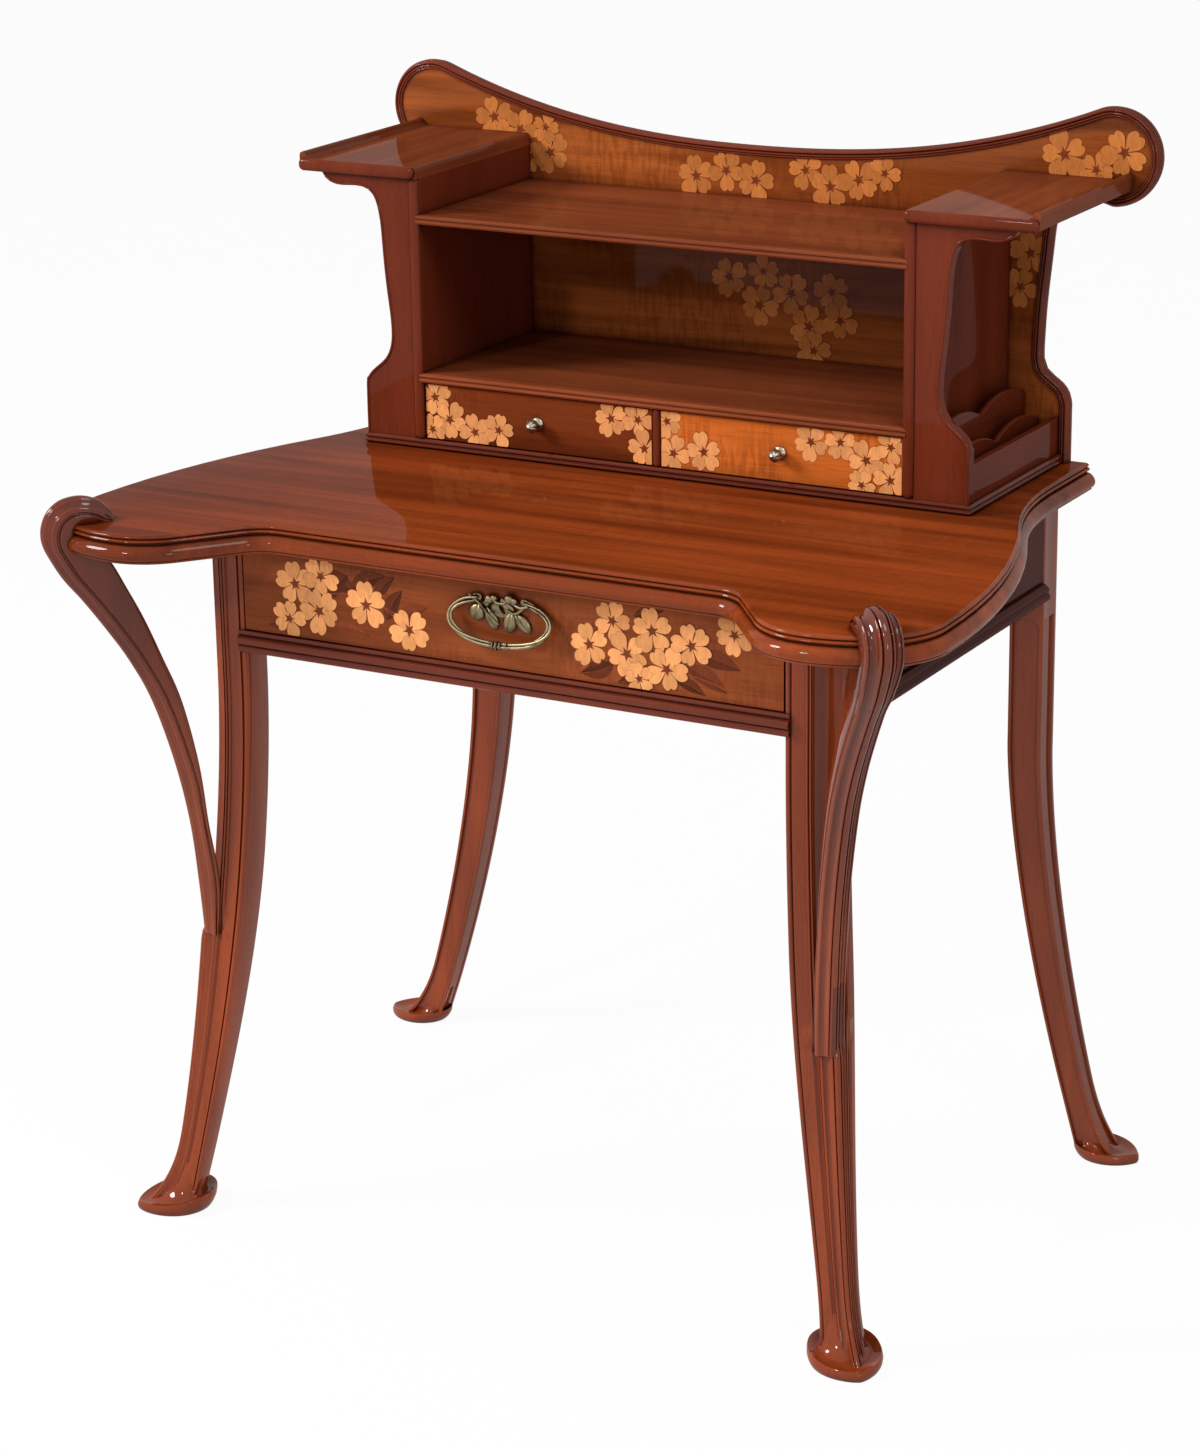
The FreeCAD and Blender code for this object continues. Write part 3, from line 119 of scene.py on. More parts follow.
# Back legs
BACK_SIZE = 36.5 * MM
BACK_ANKLE = 0.7
BACK_KNEE = 440.0 * MM
BACK_FLARE = 86.4 * MM
BACK_POWER = 1.63
BACK_TURN = math.radians(-6.5)
BACK_RECESS_TOP = 578.0 * MM
BACK_RECESS_ROUND = 9.0 * MM
BACK_RECESS_SHARE = 0.76     # of the half width
# Fine sizes of a back leg's section, in millimetres
BACK_BEAD = 1.6
RECESS_DEPTH = 3.0
RECESS_FADE = 6.0            # the recess is less deep where it is narrower than this
RECESS_SLOPE = 0.8
# Hollows of its sides: shares of the half width and of the recess's depth
INNER_HOLLOW = ((-0.7, 0.0), (-0.64, 0.5), (0.6, 0.5), (0.68, 0.0))
OUTER_HOLLOW = ((0.7, 0.0), (0.64, 1.0), (-0.64, 1.0), (-0.7, 0.0))

# Foot of a leg: its lowest sections, and how it flares into the pad
FOOT_BOTTOM = 6.0 * MM
FOOT_TOP = 90.0 * MM
FOOT_RINGS = 24
FLARE_TOP = 95.0 * MM
FLARE_POWER = 3.2
FLARE_SHRINK = 0.12
FLARE_AHEAD = 1.7
FLARE_ASIDE = 0.4

# Pad feet: tip, heel and side past the ankle
FRONT_PAD = (32.0 * MM, 11.0 * MM, 17.0 * MM)
BACK_PAD = (42.0 * MM, 4.0 * MM, 16.5 * MM)
PAD_SIDES = 64
PAD_NECK = (0.75, 0.95)      # shares of the ankle, inside the leg and at the rim
PAD_WIDEST = 0.44            # place of the widest part, from heel to tip
PAD_POINT = 1.4              # power that draws the tip to a point
# Height of the pad's rim at its tip and at its heel
FRONT_RIM = (11.0 * MM, 21.0 * MM)
BACK_RIM = (11.0 * MM, 15.0 * MM)
# Rows up the pad: share of its spread, set-in, share of the rim's height and rise above it, in millimetres
PAD_ROWS = (
    (1.0, 5.5, 0.0, 0.0), (1.0, 2.4, 0.1, 0.0), (1.0, 0.6, 0.3, 0.0), (1.0, -0.5, 0.6, 0.0),
    (1.0, 0.0, 0.88, 0.0), (1.0, 0.8, 1.0, 0.0), (1.0, 2.4, 1.0, -0.5), (0.8, 2.0, 1.0, -2.8),
    (0.62, 1.5, 1.0, -3.4), (0.45, 1.0, 1.0, -2.2), (0.3, 0.5, 1.0, 1.2), (0.18, 0.0, 1.0, 6.0),
    (0.09, 0.0, 1.0, 13.0), (0.03, 0.0, 1.0, 23.0), (0.0, 1.0, 1.0, 33.0),
)

# Branches, whose stations lie in the plane on the leg's diagonal
BRANCH_TAIL_Z = 285.0 * MM
BRANCH_HALF_WIDTH = 14.5 * MM
CLASP_HALF_WIDTH = 18.5 * MM
CLASP_CROWN = 10.5 * MM
TAIL_CROWN = CORNER_CROWN * 0.93
CROWN_STATIONS = 6.0         # stations over which the crown changes
CROWN_POWER = 1.6            # roundness of the crown, on the legs' corners too
BRANCH_FLANK = 0.95          # share of the half width, and of the depth, where a side ends
BRANCH_ARRIS = 1.6 * MM
BRANCH_STEPS = 6             # rings from one station to the next
# Where a branch is thin: share of its depth that the carving takes, and what is kept below it, in millimetres
BRANCH_ROOM = (0.85, 4.0)
# Tail, in millimetres: height above its end, and outer and inner points from the leg's carved corner
BRANCH_TAIL = ((11.0, -2.6, 15.0), (66.0, 6.8, 13.0))
# Stem, in millimetres: outer and inner points, outward of the leg's axis and below the top's surface
BRANCH_STEM = (
    ((54.5, 320.0), (37.0, 321.0)), ((67.0, 255.0), (44.0, 256.0)), ((86.0, 190.0), (58.0, 189.0)),
    ((106.0, 147.0), (75.0, 142.0)), ((127.0, 113.0), (91.0, 101.0)), ((149.0, 81.0), (107.0, 67.0)),
)
# Clasp, in millimetres: outer and inner points from the arris of the top's corner, and share of its width
BRANCH_CLASP = (
    ((5.5, -59.0), (-41.5, -43.0), 0.88), ((17.5, -38.0), (-30.0, -29.0), 0.96),
    ((24.0, -23.0), (-20.0, -22.0), 1.0), ((25.5, -10.0), (-14.5, -15.0), 1.0),
    ((22.5, 3.0), (-12.5, -10.0), 1.0), ((15.5, 14.0), (-13.5, -7.0), 1.0),
    ((3.0, 22.5), (-17.5, -5.0), 1.0), ((-15.5, 25.0), (-23.5, -4.0), 0.95),
    ((-32.5, 19.5), (-33.5, -3.0), 0.8), ((-45.5, 7.0), (-44.5, -2.0), 0.55),
)
CLASP_ARRIS = 160.5          # from the leg's axis to that arris
# Quirk along a branch's side, in millimetres: depth past its ribbed face and how far it is sunk
BRANCH_SIDE = ((0.6, 1.5), (1.6, 1.8), (2.5, 1.4), (3.0, 0.2), (3.6, 0.0))
# Carving across a branch or a leg's corner: inner edges of the edge reed, the flute and the inner reed, as
# shares of the half width
REED_EDGE = 0.8
FLUTE_EDGE = 0.42
MIDDLE_EDGE = 0.25
# Carving's depths, in millimetres: quirks below the crown, the flute below them and reeds above them
QUIRK_DEPTH = 2.4
FLUTE_DEPTH = 2.0
REED_RISE = 2.2
MIDDLE_DEPTH = 0.3
REED_ROUND = 0.6             # power that makes a reed round

# Rail below the drawer, in millimetres: reach past the legs' faces and height above its underside
RAIL_REACH = 4.5
RAIL_LAP = 6.0               # moulding over the face of each leg
RAIL_OVOLO = ((0.0, 0.0), (3.4, 0.0), (4.3, 0.6), (4.5, 2.1), (4.2, 4.2), (3.7, 5.8), (2.6, 6.7))
RAIL_BEAD = ((2.9, 11.4), (3.1, 4.3))    # its middle, and half its reach and height
RAIL_FILLET = (
    (1.4, 16.2), (0.3, 16.5), (0.2, 17.2), (1.9, 17.7), (2.1, 18.4), (2.1, 20.4), (1.6, 21.1), (0.0, 21.3),
)

# Border of the back panel: beads on its edge by share of the thickness, and on its face by share of the width
# with their rise in millimetres
EDGE_BEADS = ((0.3, 0.64), (0.64, 0.98))
FACE_BEADS = ((0.04, 0.42, 1.7), (0.42, 0.78, 1.4), (0.78, 1.0, 0.6))
EDGE_SINK = 0.3
EDGE_RISE = 1.4
BEAD_ROUND = 0.7             # power that makes a bead round

# Bead along a front board, in millimetres: its start and end from the board's edge, and its rise
BOARD_BEAD = ((0.2, 3.4), 1.1)
# Half-round fronts of the upper case: half width and reach, the divider's as wide as the divider
DIVIDER_REACH = 2.4 * MM
UPRIGHT_BEAD = (5.7 * MM, 2.2 * MM)
PLATFORM_BEAD = (6.2 * MM, 3.0 * MM)
PLATFORM_THICKNESS = 12.0 * MM

# Where the wood is made darker towards one end: axis, and the places where this starts and is full. On the
# top this is painted shade on its left end; the branches are darker towards their upper end.
BRANCH_DARKER_TOP = ("Z", 420.0 * MM, 600.0 * MM)
TOP_PAINTED_SHADE = ("X", -100.0 * MM, -420.0 * MM)
# Mended tail of the right branch: height of its end, and how far its seam lies inside the leg's axis
MEND_TOP = 366.0 * MM
MEND_SEAM = 2.0 * MM
# Dark tones that are multiplied into a wood
# Darker end: painted shade on the top, a darker upper part on the branches
DARKER_END_TONE = (0.64, 0.57, 0.58)
MEND_TONE = (0.4, 0.32, 0.34)
CLOUD_TONE = (0.6, 0.52, 0.48)
PORE_TONE = (0.45, 0.38, 0.36)
BAND_TONE = (0.42, 0.34, 0.3)
RIPPLE_TONE = (0.5, 0.42, 0.36)
SHADOW_TONE = (0.3, 0.21, 0.2)
# Wax and painted shade, multiplied in where small hollows are
WAX_AND_SHADE_TONE = (0.24, 0.16, 0.15)
POLISH_IOR = 1.5

# Bronze pull, in millimetres on the drawer front round the middle of the loop
PULL_DROP = 35.0
PULL_HALF_WIDTH = 54.0
PULL_HALF_HEIGHT = 22.5
PULL_STAND_OFF = 13.0
PULL_BAR = 3.8
PULL_GAP = 63.0              # degrees from the level to either end of the loop
PULL_STEPS = 72
PULL_STRANDS = 3
PULL_POST = 3.2
# Ties round the lowest part of the loop: share of its length, and size
PULL_TIES = ((0.485, 1.15), (0.5, 1.25), (0.515, 1.1))
TIE_RADIUS = 3.1
# Escutcheon: half width and half height of its oval and of its keyhole, whose turn is in degrees
PLATE_OVAL = (12.0, 8.5)
KEYHOLE_OVAL = (5.2, 2.3)
KEYHOLE_TURN = -52.0
# Its rows, from the edge to the keyhole: share of the oval, or none for the keyhole, and height
PLATE_ROWS = ((1.0, 0.0), (1.0, 1.8), (0.93, 2.4), (0.0, 2.4), (0.0, 0.0))
# Leaves: base, tip, half width and notch
PULL_LEAVES = (
    ((-25.5, 13.0), (-31.5, -3.5), 8.8, 0.3), ((-18.0, 11.0), (-7.5, -10.5), 6.8, 0.1),
    ((10.5, 8.5), (4.5, -11.5), 7.6, 0.25), ((12.5, 9.5), (29.0, -9.5), 6.8, 0.1),
    ((-3.0, 21.5), (13.0, 7.5), 4.8, 0.0), ((-12.0, 19.0), (-22.0, 10.0), 4.0, 0.0),
)
PULL_STEMS = (
    ((-34.5, 21.5), (-24.0, 14.5), (-15.0, 5.0), (-3.0, -4.5)),
    ((30.0, 17.5), (22.0, 15.0), (15.0, 17.0), (9.0, 19.0)),
    ((30.0, 20.5), (20.0, 11.0), (14.0, 8.0), (6.0, 11.0)),
    ((-9.0, 20.0), (-4.0, 17.0), (3.0, 17.0), (9.0, 21.0)),
)
# Berries: place and radius
PULL_BERRIES = ((-12.5, 19.5, 4.6), (-7.5, 21.0, 3.6), (9.0, 22.0, 5.0), (14.5, 20.5, 3.8))

# Knobs, from the rosette to the tip: shares of the length and of the radius, and strength of the six lobes
KNOB_ROWS = (
    (0.0, 0.92, 0.0), (0.05, 0.98, 0.0), (0.1, 0.9, 0.0), (0.14, 0.6, 0.0), (0.2, 0.46, 0.0),
    (0.27, 0.5, 0.0), (0.33, 0.76, 0.5), (0.42, 0.95, 1.0), (0.52, 1.0, 1.0), (0.63, 0.97, 1.0),
    (0.74, 0.85, 1.0), (0.84, 0.66, 1.0), (0.92, 0.42, 0.9), (0.97, 0.22, 0.5), (1.0, 0.05, 0.0),
)
KNOB_SIDES = 48
KNOB_TWIST = 2.2
KNOB_LOBE = 0.2
SPINDLE_RADIUS = 2.5 * MM

# Petal of a blossom of radius one: radius and swing in degrees along its edge, and bottom of its notch
PETAL_EDGE = (
    (0.1, 32.0), (0.3, 35.8), (0.5, 35.6), (0.7, 33.0), (0.86, 26.0), (0.97, 17.0), (1.0, 10.0), (0.95, 4.0),
)
PETAL_NOTCH = 0.885
STAR_POINT = 0.34            # star in a blossom's middle: its points and the hollows between them
STAR_HOLLOW = 0.13
TWIG_HALF_WIDTH = 0.5 * MM
MIDRIB_HALF_WIDTH = 0.25 * MM
INLAY_MARGIN = 0.8 * MM      # bare edge of a drawer front
PANEL_SHEET = 1.5 * MM       # the panel's inlaid face, behind its border's
# Inlay blossoms, in millimetres along X and Z: place, radius and turn in degrees
DRAWER_BLOSSOMS = (
    (-234, 673, 22, 10), (-204, 684, 20, 40), (-207, 649, 23, 25), (-242, 637, 19, 58), (-153, 662, 23, 5),
    (-105, 643, 22, 33), (92, 656, 21, 12), (117, 682, 20, 50), (132, 652, 22, 30), (159, 678, 22, 8),
    (174, 643, 22, 45), (200, 669, 21, 20), (145, 630, 16, 15), (244, 685, 20, 35),
)
LEFT_BLOSSOMS = (
    (-258, 790, 19, 10), (-241, 768, 20, 40), (-262, 756, 17, 30), (-211, 758, 19, 20), (-183, 763, 18, 55),
    (-52, 789, 19, 15), (-21, 791, 18, 45), (-14, 762, 19, 5),
)
RIGHT_BLOSSOMS = (
    (12, 793, 17, 20), (19, 761, 19, 50), (53, 766, 20, 10), (171, 789, 19, 35), (203, 792, 18, 5),
    (231, 777, 20, 25), (257, 793, 17, 48), (257, 760, 19, 12), (226, 752, 16, 40),
)
PANEL_BLOSSOMS = (
    (-314, 1041, 23, 12), (-282, 1030, 21, 44), (-246, 1008, 23, 20), (-270, 1002, 18, 35),
    (-251, 1034, 17, 60), (-72, 996, 22, 8), (-37, 1004, 21, 38), (-3, 996, 22, 55), (54, 1011, 20, 18),
    (82, 996, 23, 2), (114, 1005, 22, 27), (143, 1014, 18, 50), (337, 1047, 25, 15), (371, 1034, 19, 48),
    (400, 1053, 24, 30), (-34, 893, 21, 20), (1, 866, 22, 47), (6, 902, 18, 8), (38, 882, 22, 33),
    (58, 849, 22, 55), (84, 887, 20, 14), (94, 858, 20, 40), (64, 824, 20, 60), (303, 946, 22, 12),
    (293, 911, 20, 40),
)
# Leaves on the main drawer: base, tip, half width and tone
DRAWER_LEAVES = (
    ((-206, 690), (-158, 668), 9, 0.2), ((-196, 664), (-172, 690), 8, 0.1),
    ((-170, 676), (-130, 694), 9, 0.15), ((-143, 672), (-120, 694), 7, 0.3),
    ((-131, 650), (-112, 682), 8, 0.1), ((-224, 634), (-266, 628), 7, 0.4),
    ((-196, 636), (-150, 632), 6, 0.75), ((-118, 650), (-84, 668), 8, 0.5), ((118, 640), (82, 627), 8, 0.2),
    ((110, 646), (78, 642), 7, 0.1), ((196, 648), (236, 628), 9, 0.45), ((206, 660), (250, 652), 9, 0.35),
    ((184, 634), (214, 623), 6, 0.2), ((146, 636), (122, 623), 6, 0.15), ((140, 690), (172, 699), 5, 0.3),
)
DRAWER_TWIGS = (
    ((-244, 628), (-205, 664), (-150, 668), (-84, 640)), ((-152, 690), (-140, 668), (-118, 652), (-103, 643)),
    ((78, 632), (118, 650), (165, 664), (246, 690)), ((100, 660), (150, 640), (200, 640), (240, 630)),
)


def linear(red, green, blue):
    """Colour seen on a screen, 0 to 255, as the light it stands for."""
    values = []
    for level in (red, green, blue):
        share = level / 255.0
        values.append(share / 12.92 if share <= 0.04045 else ((share + 0.055) / 1.055) ** 2.4)
    return tuple(values)


def colour_setting(name, text, red, green, blue):
    """Setting whose default is a colour seen on a screen."""
    return FloatVectorProperty(
        name=name,
        description=text,
        subtype="COLOR",
        size=3,
        min=0.0,
        max=1.0,
        default=linear(red, green, blue),
    )


class DeskFinish(bpy.types.PropertyGroup):
    """Colours of the desk's woods and metals."""

    leg: colour_setting("Leg mahogany", "Legs and branches", 139, 60, 27)
    frame: colour_setting("Frame mahogany", "Rails and uprights", 108, 45, 26)
    # The frame's mahogany made darker as painted shade, for the aprons in shadow under the top
    apron: colour_setting("Apron mahogany", "Side aprons and their mouldings", 80, 34, 25)
    shelf: colour_setting("Shelf mahogany", "Shelves and platforms", 128, 63, 35)
    top: colour_setting("Top veneer", "Polished writing surface", 140, 62, 25)
    panel: colour_setting("Panel veneer", "Field of the back panel", 154, 81, 37)
    drawer: colour_setting("Drawer veneer", "Front of the main drawer", 142, 71, 35)
    drawer_dark: colour_setting("Dark drawer veneer", "Front of the left small drawer", 126, 58, 27)
    drawer_light: colour_setting("Light drawer veneer", "Front of the right small drawer", 228, 120, 50)
    blossom: colour_setting("Blossom veneer", "Petals on the drawers", 228, 154, 95)
    # Darker than the drawers' petals: partly the panel's own tone, partly painted shade where the panel is in
    # shadow
    blossom_dark: colour_setting("Dark blossom veneer", "Petals on the back panel", 186, 112, 56)
    leaf: colour_setting("Leaf veneer", "Leaves and twigs of the inlay", 112, 52, 28)
    inner: colour_setting("Inner wood", "Drawer linings and hidden rails", 150, 100, 62)
    bronze: colour_setting("Gilt bronze", "Drawer pull", 138, 123, 94)
    silver: colour_setting("Pale bronze", "Knobs of the small drawers", 162, 152, 134)


class DeskSizes(bpy.types.PropertyGroup):
    """Fine sizes of the dressed pieces."""

    arris: FloatProperty(
        name="Arris", description="Rounding of board edges", unit="LENGTH", default=0.9 * MM, min=0.0
    )
    inlay_rise: FloatProperty(
        name="Inlay rise", description="Height of an inlay layer", unit="LENGTH", default=0.08 * MM, min=0.0
    )
    border_width: FloatProperty(
        name="Border width", description="Moulding round the back panel", unit="LENGTH", default=8.5 * MM
    )
    leg_rings: IntProperty(name="Leg rings", description="Sections along a leg", default=84, min=8)


def smoothstep(value):
    value = min(max(value, 0.0), 1.0)
    return value * value * (3.0 - 2.0 * value)


def lerp(start, end, share):
    return start + (end - start) * share


def arc(centre_u, centre_v, radius, start, end, count):
    """Points on an arc, angles in degrees."""
    places = []
    for step in range(count):
        angle = math.radians(lerp(start, end, step / (count - 1)))
        places.append((centre_u + radius * math.cos(angle), centre_v + radius * math.sin(angle)))
    return places


def smooth_curve(points, at):
    """Point on a curve that passes one of the points per unit of its parameter."""
    last = len(points) - 1
    index = min(int(at), last - 1)
    share = at - index
    p0, p1 = points[max(index - 1, 0)], points[index]
    p2, p3 = points[index + 1], points[min(index + 2, last)]
    square, cube = share * share, share ** 3
    return 0.5 * (
        2.0 * p1
        + (p2 - p0) * share
        + (2.0 * p0 - 5.0 * p1 + 4.0 * p2 - p3) * square
        + (3.0 * p1 - p0 - 3.0 * p2 + p3) * cube
    )


def refined(points, steps):
    """The same run of points with more of them, on a smooth curve."""
    last = len(points) - 1
    return [smooth_curve(points, step / steps) for step in range(last * steps + 1)]


class Solid:
    """Points and faces of a piece while it is drawn, with a tint for each point."""

    def __init__(self):
        self.points = []
        self.faces = []
        self.tints = []

    def add(self, points, faces, tint=0.5):
        first = len(self.points)
        self.points += [Vector(point) for point in points]
        self.faces += [[first + corner for corner in face] for face in faces]
        self.tints += [tint] * len(points)

    def loft(self, rings, caps=True, closed=False):
        """Joins rings of equally many points one to the next, and if closed the last to the first."""
        count = len(rings[0])
        points = [point for ring in rings for point in ring]
        faces = []
        rows = len(rings) if closed else len(rings) - 1
        for row in range(rows):
            low, high = row * count, (row + 1) % len(rings) * count
            for side in range(count):
                after = (side + 1) % count
                faces.append([low + side, low + after, high + after, high + side])
        if caps:
            faces.append(list(range(count))[::-1])
            faces.append([(len(rings) - 1) * count + side for side in range(count)])
        self.add(points, faces)

    def tube(self, path, radius, sides=10):
        """Round bar along a path; the radius may change along it."""
        rings = []
        aside = None
        for index, place in enumerate(path):
            ahead = (path[min(index + 1, len(path) - 1)] - path[max(index - 1, 0)]).normalized()
            if aside is None:
                aside = ahead.orthogonal()
            aside = (aside - ahead * aside.dot(ahead)).normalized()
            over = ahead.cross(aside)
            size = radius(index / (len(path) - 1)) if callable(radius) else radius
            ring = []
            for side in range(sides):
                angle = 2.0 * math.pi * side / sides
                ring.append(place + (aside * math.cos(angle) + over * math.sin(angle)) * size)
            rings.append(ring)
        self.loft(rings)

    def ball(self, centre, radius, squash=1.0):
        rings = []
        for row in range(1, 10):
            swing = math.pi * row / 10.0
            ring = []
            for side in range(16):
                angle = 2.0 * math.pi * side / 16.0
                out = Vector((math.cos(angle), 0.0, math.sin(angle))) * math.sin(swing)
                ring.append(centre + (out + FORWARD * (math.cos(swing) * squash)) * radius)
            rings.append(ring)
        self.loft(rings)

    def flipped(self):
        """The same form mirrored from right to left."""
        other = Solid()
        other.points = [Vector((-p.x, p.y, p.z)) for p in self.points]
        other.faces = [face[::-1] for face in self.faces]
        other.tints = list(self.tints)
        return other


def piece(name, solid, body, material, sharp=40.0, stands_for=(), sheet=False):
    """Makes a mesh object of a solid and lets it ride on a body of the frame."""
    mesh = bpy.data.meshes.new(name)
    mesh.from_pydata([tuple(point) for point in solid.points], [], solid.faces)
    if not sheet:
        form = bmesh.new()
        form.from_mesh(mesh)
        bmesh.ops.recalc_face_normals(form, faces=form.faces)
        form.to_mesh(mesh)
        form.free()
    tint = mesh.color_attributes.new("tint", "FLOAT_COLOR", "POINT")
    for value, level in zip(tint.data, solid.tints):
        value.color = (level, level, level, 1.0)
    mesh.shade_smooth()
    mesh.set_sharp_from_angle(angle=math.radians(sharp))
    mesh.materials.append(material)
    made = bpy.data.objects.new(name, mesh)
    bpy.context.scene.collection.objects.link(made)
    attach(made, body)
    if stands_for:
        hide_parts(*stands_for)
    return made


class Finish:
    """A node material under construction."""

    def __init__(self, name):
        self.material = bpy.data.materials.new(name)
        self.material.use_nodes = True
        self.tree = self.material.node_tree
        self.shader = self.tree.nodes["Principled BSDF"]
        self.coords = self.node("ShaderNodeTexCoord").outputs["Object"]

    def node(self, kind, inputs=None, **settings):
        made = self.tree.nodes.new(kind)
        for key, value in settings.items():
            setattr(made, key, value)
        for key, value in (inputs or {}).items():
            self.feed(made.inputs[key], value)
        return made

    def feed(self, socket, value):
        if isinstance(value, bpy.types.NodeSocket):
            self.tree.links.new(value, socket)
        else:
            socket.default_value = value

    def set(self, **values):
        for key, value in values.items():
            self.feed(self.shader.inputs[key.replace("_", " ")], value)

    def scaled(self, scale):
        return self.node("ShaderNodeMapping", {"Vector": self.coords, "Scale": scale}).outputs["Vector"]

    def noise(self, vector, scale=1.0, detail=4.0, rough=0.55, distortion=0.0):
        values = {"Vector": vector, "Scale": scale, "Detail": detail, "Roughness": rough}
        values["Distortion"] = distortion
        return self.node("ShaderNodeTexNoise", values).outputs["Fac"]

    def ramp(self, value, stops):
        made = self.node("ShaderNodeValToRGB", {"Fac": value})
        elements = made.color_ramp.elements
        while len(elements) < len(stops):
            elements.new(0.5)
        for element, (place, colour) in zip(elements, stops):
            element.position = place
            element.color = (*colour, 1.0)
        return made.outputs["Color"]

    def reach(self, value, low, high, start, end):
        values = {"Value": value, "From Min": low, "From Max": high, "To Min": start, "To Max": end}
        return self.node("ShaderNodeMapRange", values).outputs["Result"]

    def maths(self, operation, first, second=0.5):
        return self.node("ShaderNodeMath", {0: first, 1: second}, operation=operation).outputs[0]

    def mix(self, share, first, second, blend="MIX"):
        made = self.node("ShaderNodeMix", data_type="RGBA", blend_type=blend)
        self.feed(made.inputs[0], share)
        self.feed(made.inputs[6], first)
        self.feed(made.inputs[7], second)
        return made.outputs[2]

    def darkened(self, share, tone, mask, low, high, dark):
        """Multiplies a tone by a dark colour where the mask is low."""
        return self.mix(share, tone, self.ramp(mask, [(low, dark), (high, (1.0, 1.0, 1.0))]), "MULTIPLY")

    def bump(self, height, strength, distance):
        values = {"Height": height, "Strength": strength, "Distance": distance}
        return self.node("ShaderNodeBump", values).outputs["Normal"]

    def hollows(self, distance):
        return self.node("ShaderNodeAmbientOcclusion", {"Distance": distance}, samples=4).outputs["AO"]


def shade(colour, factor):
    return tuple(min(level * factor, 1.0) for level in colour)


def along(axis, slow, fast):
    """Scale of a grain texture that runs along an axis, 0 to 2."""
    return tuple(slow if index == axis else fast for index in range(3))


def polished_wood(name, colour, axis, streaks=1.0, ripple=0.0, bands=0.0, coat=0.1, darker_end=None, mend=None):
    """French-polished wood: grain, pores, ripple figure, worn arrises with a painted highlight, wax with
    painted shade in the hollows, and a painted shadow in deeper recesses.

    Along the axis of a darker end the wood grows darker between its two places; on the top this is painted
    shade.
    A mended end is darker below the mend's height and beyond its seam, a sum of x and y.
    """
    finish = Finish(name)
    fibre = finish.noise(finish.scaled(along(axis, 1.6, 42.0)), 1.0, 7.0, 0.6, 0.35)
    stripe = finish.noise(finish.scaled(along(axis, 0.8, 11.0)), 1.0, 3.0, 0.5, 0.8)
    grain = finish.maths("ADD", finish.maths("MULTIPLY", fibre, 0.5), finish.maths("MULTIPLY", stripe, 0.5))
    spread = 0.17 / streaks
    tone = finish.ramp(
        grain,
        [
            (0.5 - 1.3 * spread, shade(colour, 0.5)),
            (0.5 - 0.4 * spread, shade(colour, 0.84)),
            (0.5 + 0.4 * spread, shade(colour, 1.14)),
            (0.5 + 1.4 * spread, shade(colour, 1.5)),
        ],
    )
    tone = finish.darkened(0.4, tone, finish.noise(finish.coords, 5.0, 2.0), 0.3, 0.65, CLOUD_TONE)
    pores = finish.noise(finish.scaled(along(axis, 30.0, 700.0)), 1.0, 2.0, 0.7)
    tone = finish.darkened(0.3, tone, pores, 0.36, 0.46, PORE_TONE)
    height = finish.maths("MULTIPLY", fibre, 0.3)
    if bands:
        band = finish.noise(finish.scaled(along(axis, 1.4, 17.0)), 1.0, 3.0, 0.5, 1.2)
        tone = finish.darkened(bands, tone, band, 0.4, 0.55, BAND_TONE)
    if ripple:
        curl = finish.noise(finish.scaled(along(axis, 200.0, 34.0)), 1.0, 2.0, 0.5, 0.6)
        where = finish.reach(finish.noise(finish.coords, 10.0, 1.0), 0.45, 0.6, 0.0, ripple)
        tone = finish.darkened(where, tone, curl, 0.42, 0.56, RIPPLE_TONE)
        height = finish.maths("ADD", height, finish.maths("MULTIPLY", curl, 0.25 * ripple))
    place = finish.node("ShaderNodeSeparateXYZ", {0: finish.coords}).outputs
    # Darker towards one end; on the top this is painted shade
    if darker_end:
        along_axis, start, full = darker_end
        clear = finish.reach(place[along_axis], start, full, 1.0, 0.0)
        tone = finish.darkened(1.0, tone, clear, 0.0, 1.0, DARKER_END_TONE)
    if mend:
        level, seam = mend
        above = finish.reach(place["Z"], level, level + MM, 0.0, 1.0)
        beside = finish.reach(finish.maths("ADD", place["X"], place["Y"]), seam, seam - MM, 0.0, 1.0)
        tone = finish.darkened(0.75, tone, finish.maths("MAXIMUM", above, beside), 0.0, 1.0, MEND_TONE)
    # Arrises lighter where the bevelled normal turns away: partly wear, partly a painted highlight
    eased = finish.node("ShaderNodeBevel", {"Radius": 1.6 * MM}, samples=3).outputs["Normal"]
    flat = finish.node("ShaderNodeNewGeometry").outputs["Normal"]
    turn = finish.node("ShaderNodeVectorMath", {0: eased, 1: flat}, operation="DOT_PRODUCT").outputs["Value"]
    tone = finish.mix(finish.reach(turn, 0.97, 0.8, 0.0, 0.5), tone, (*shade(colour, 1.9), 1.0))
    tone = finish.darkened(0.6, tone, finish.hollows(22.0 * MM), 0.2, 0.85, SHADOW_TONE)
    # Wax and painted shade in grooves, flutes and inner corners, from ambient occlusion
    tone = finish.darkened(0.85, tone, finish.hollows(4.5 * MM), 0.4, 0.92, WAX_AND_SHADE_TONE)
    rough = finish.reach(finish.noise(finish.coords, 14.0, 4.0), 0.3, 0.7, 0.25, 0.45)
    finish.set(
        Base_Color=tone,
        Roughness=rough,
        Specular_IOR_Level=0.0,
        Normal=finish.bump(height, 0.08, 0.4 * MM),
        Coat_Weight=coat,
        Coat_Roughness=0.04,
        Coat_IOR=POLISH_IOR,
    )
    return finish.material


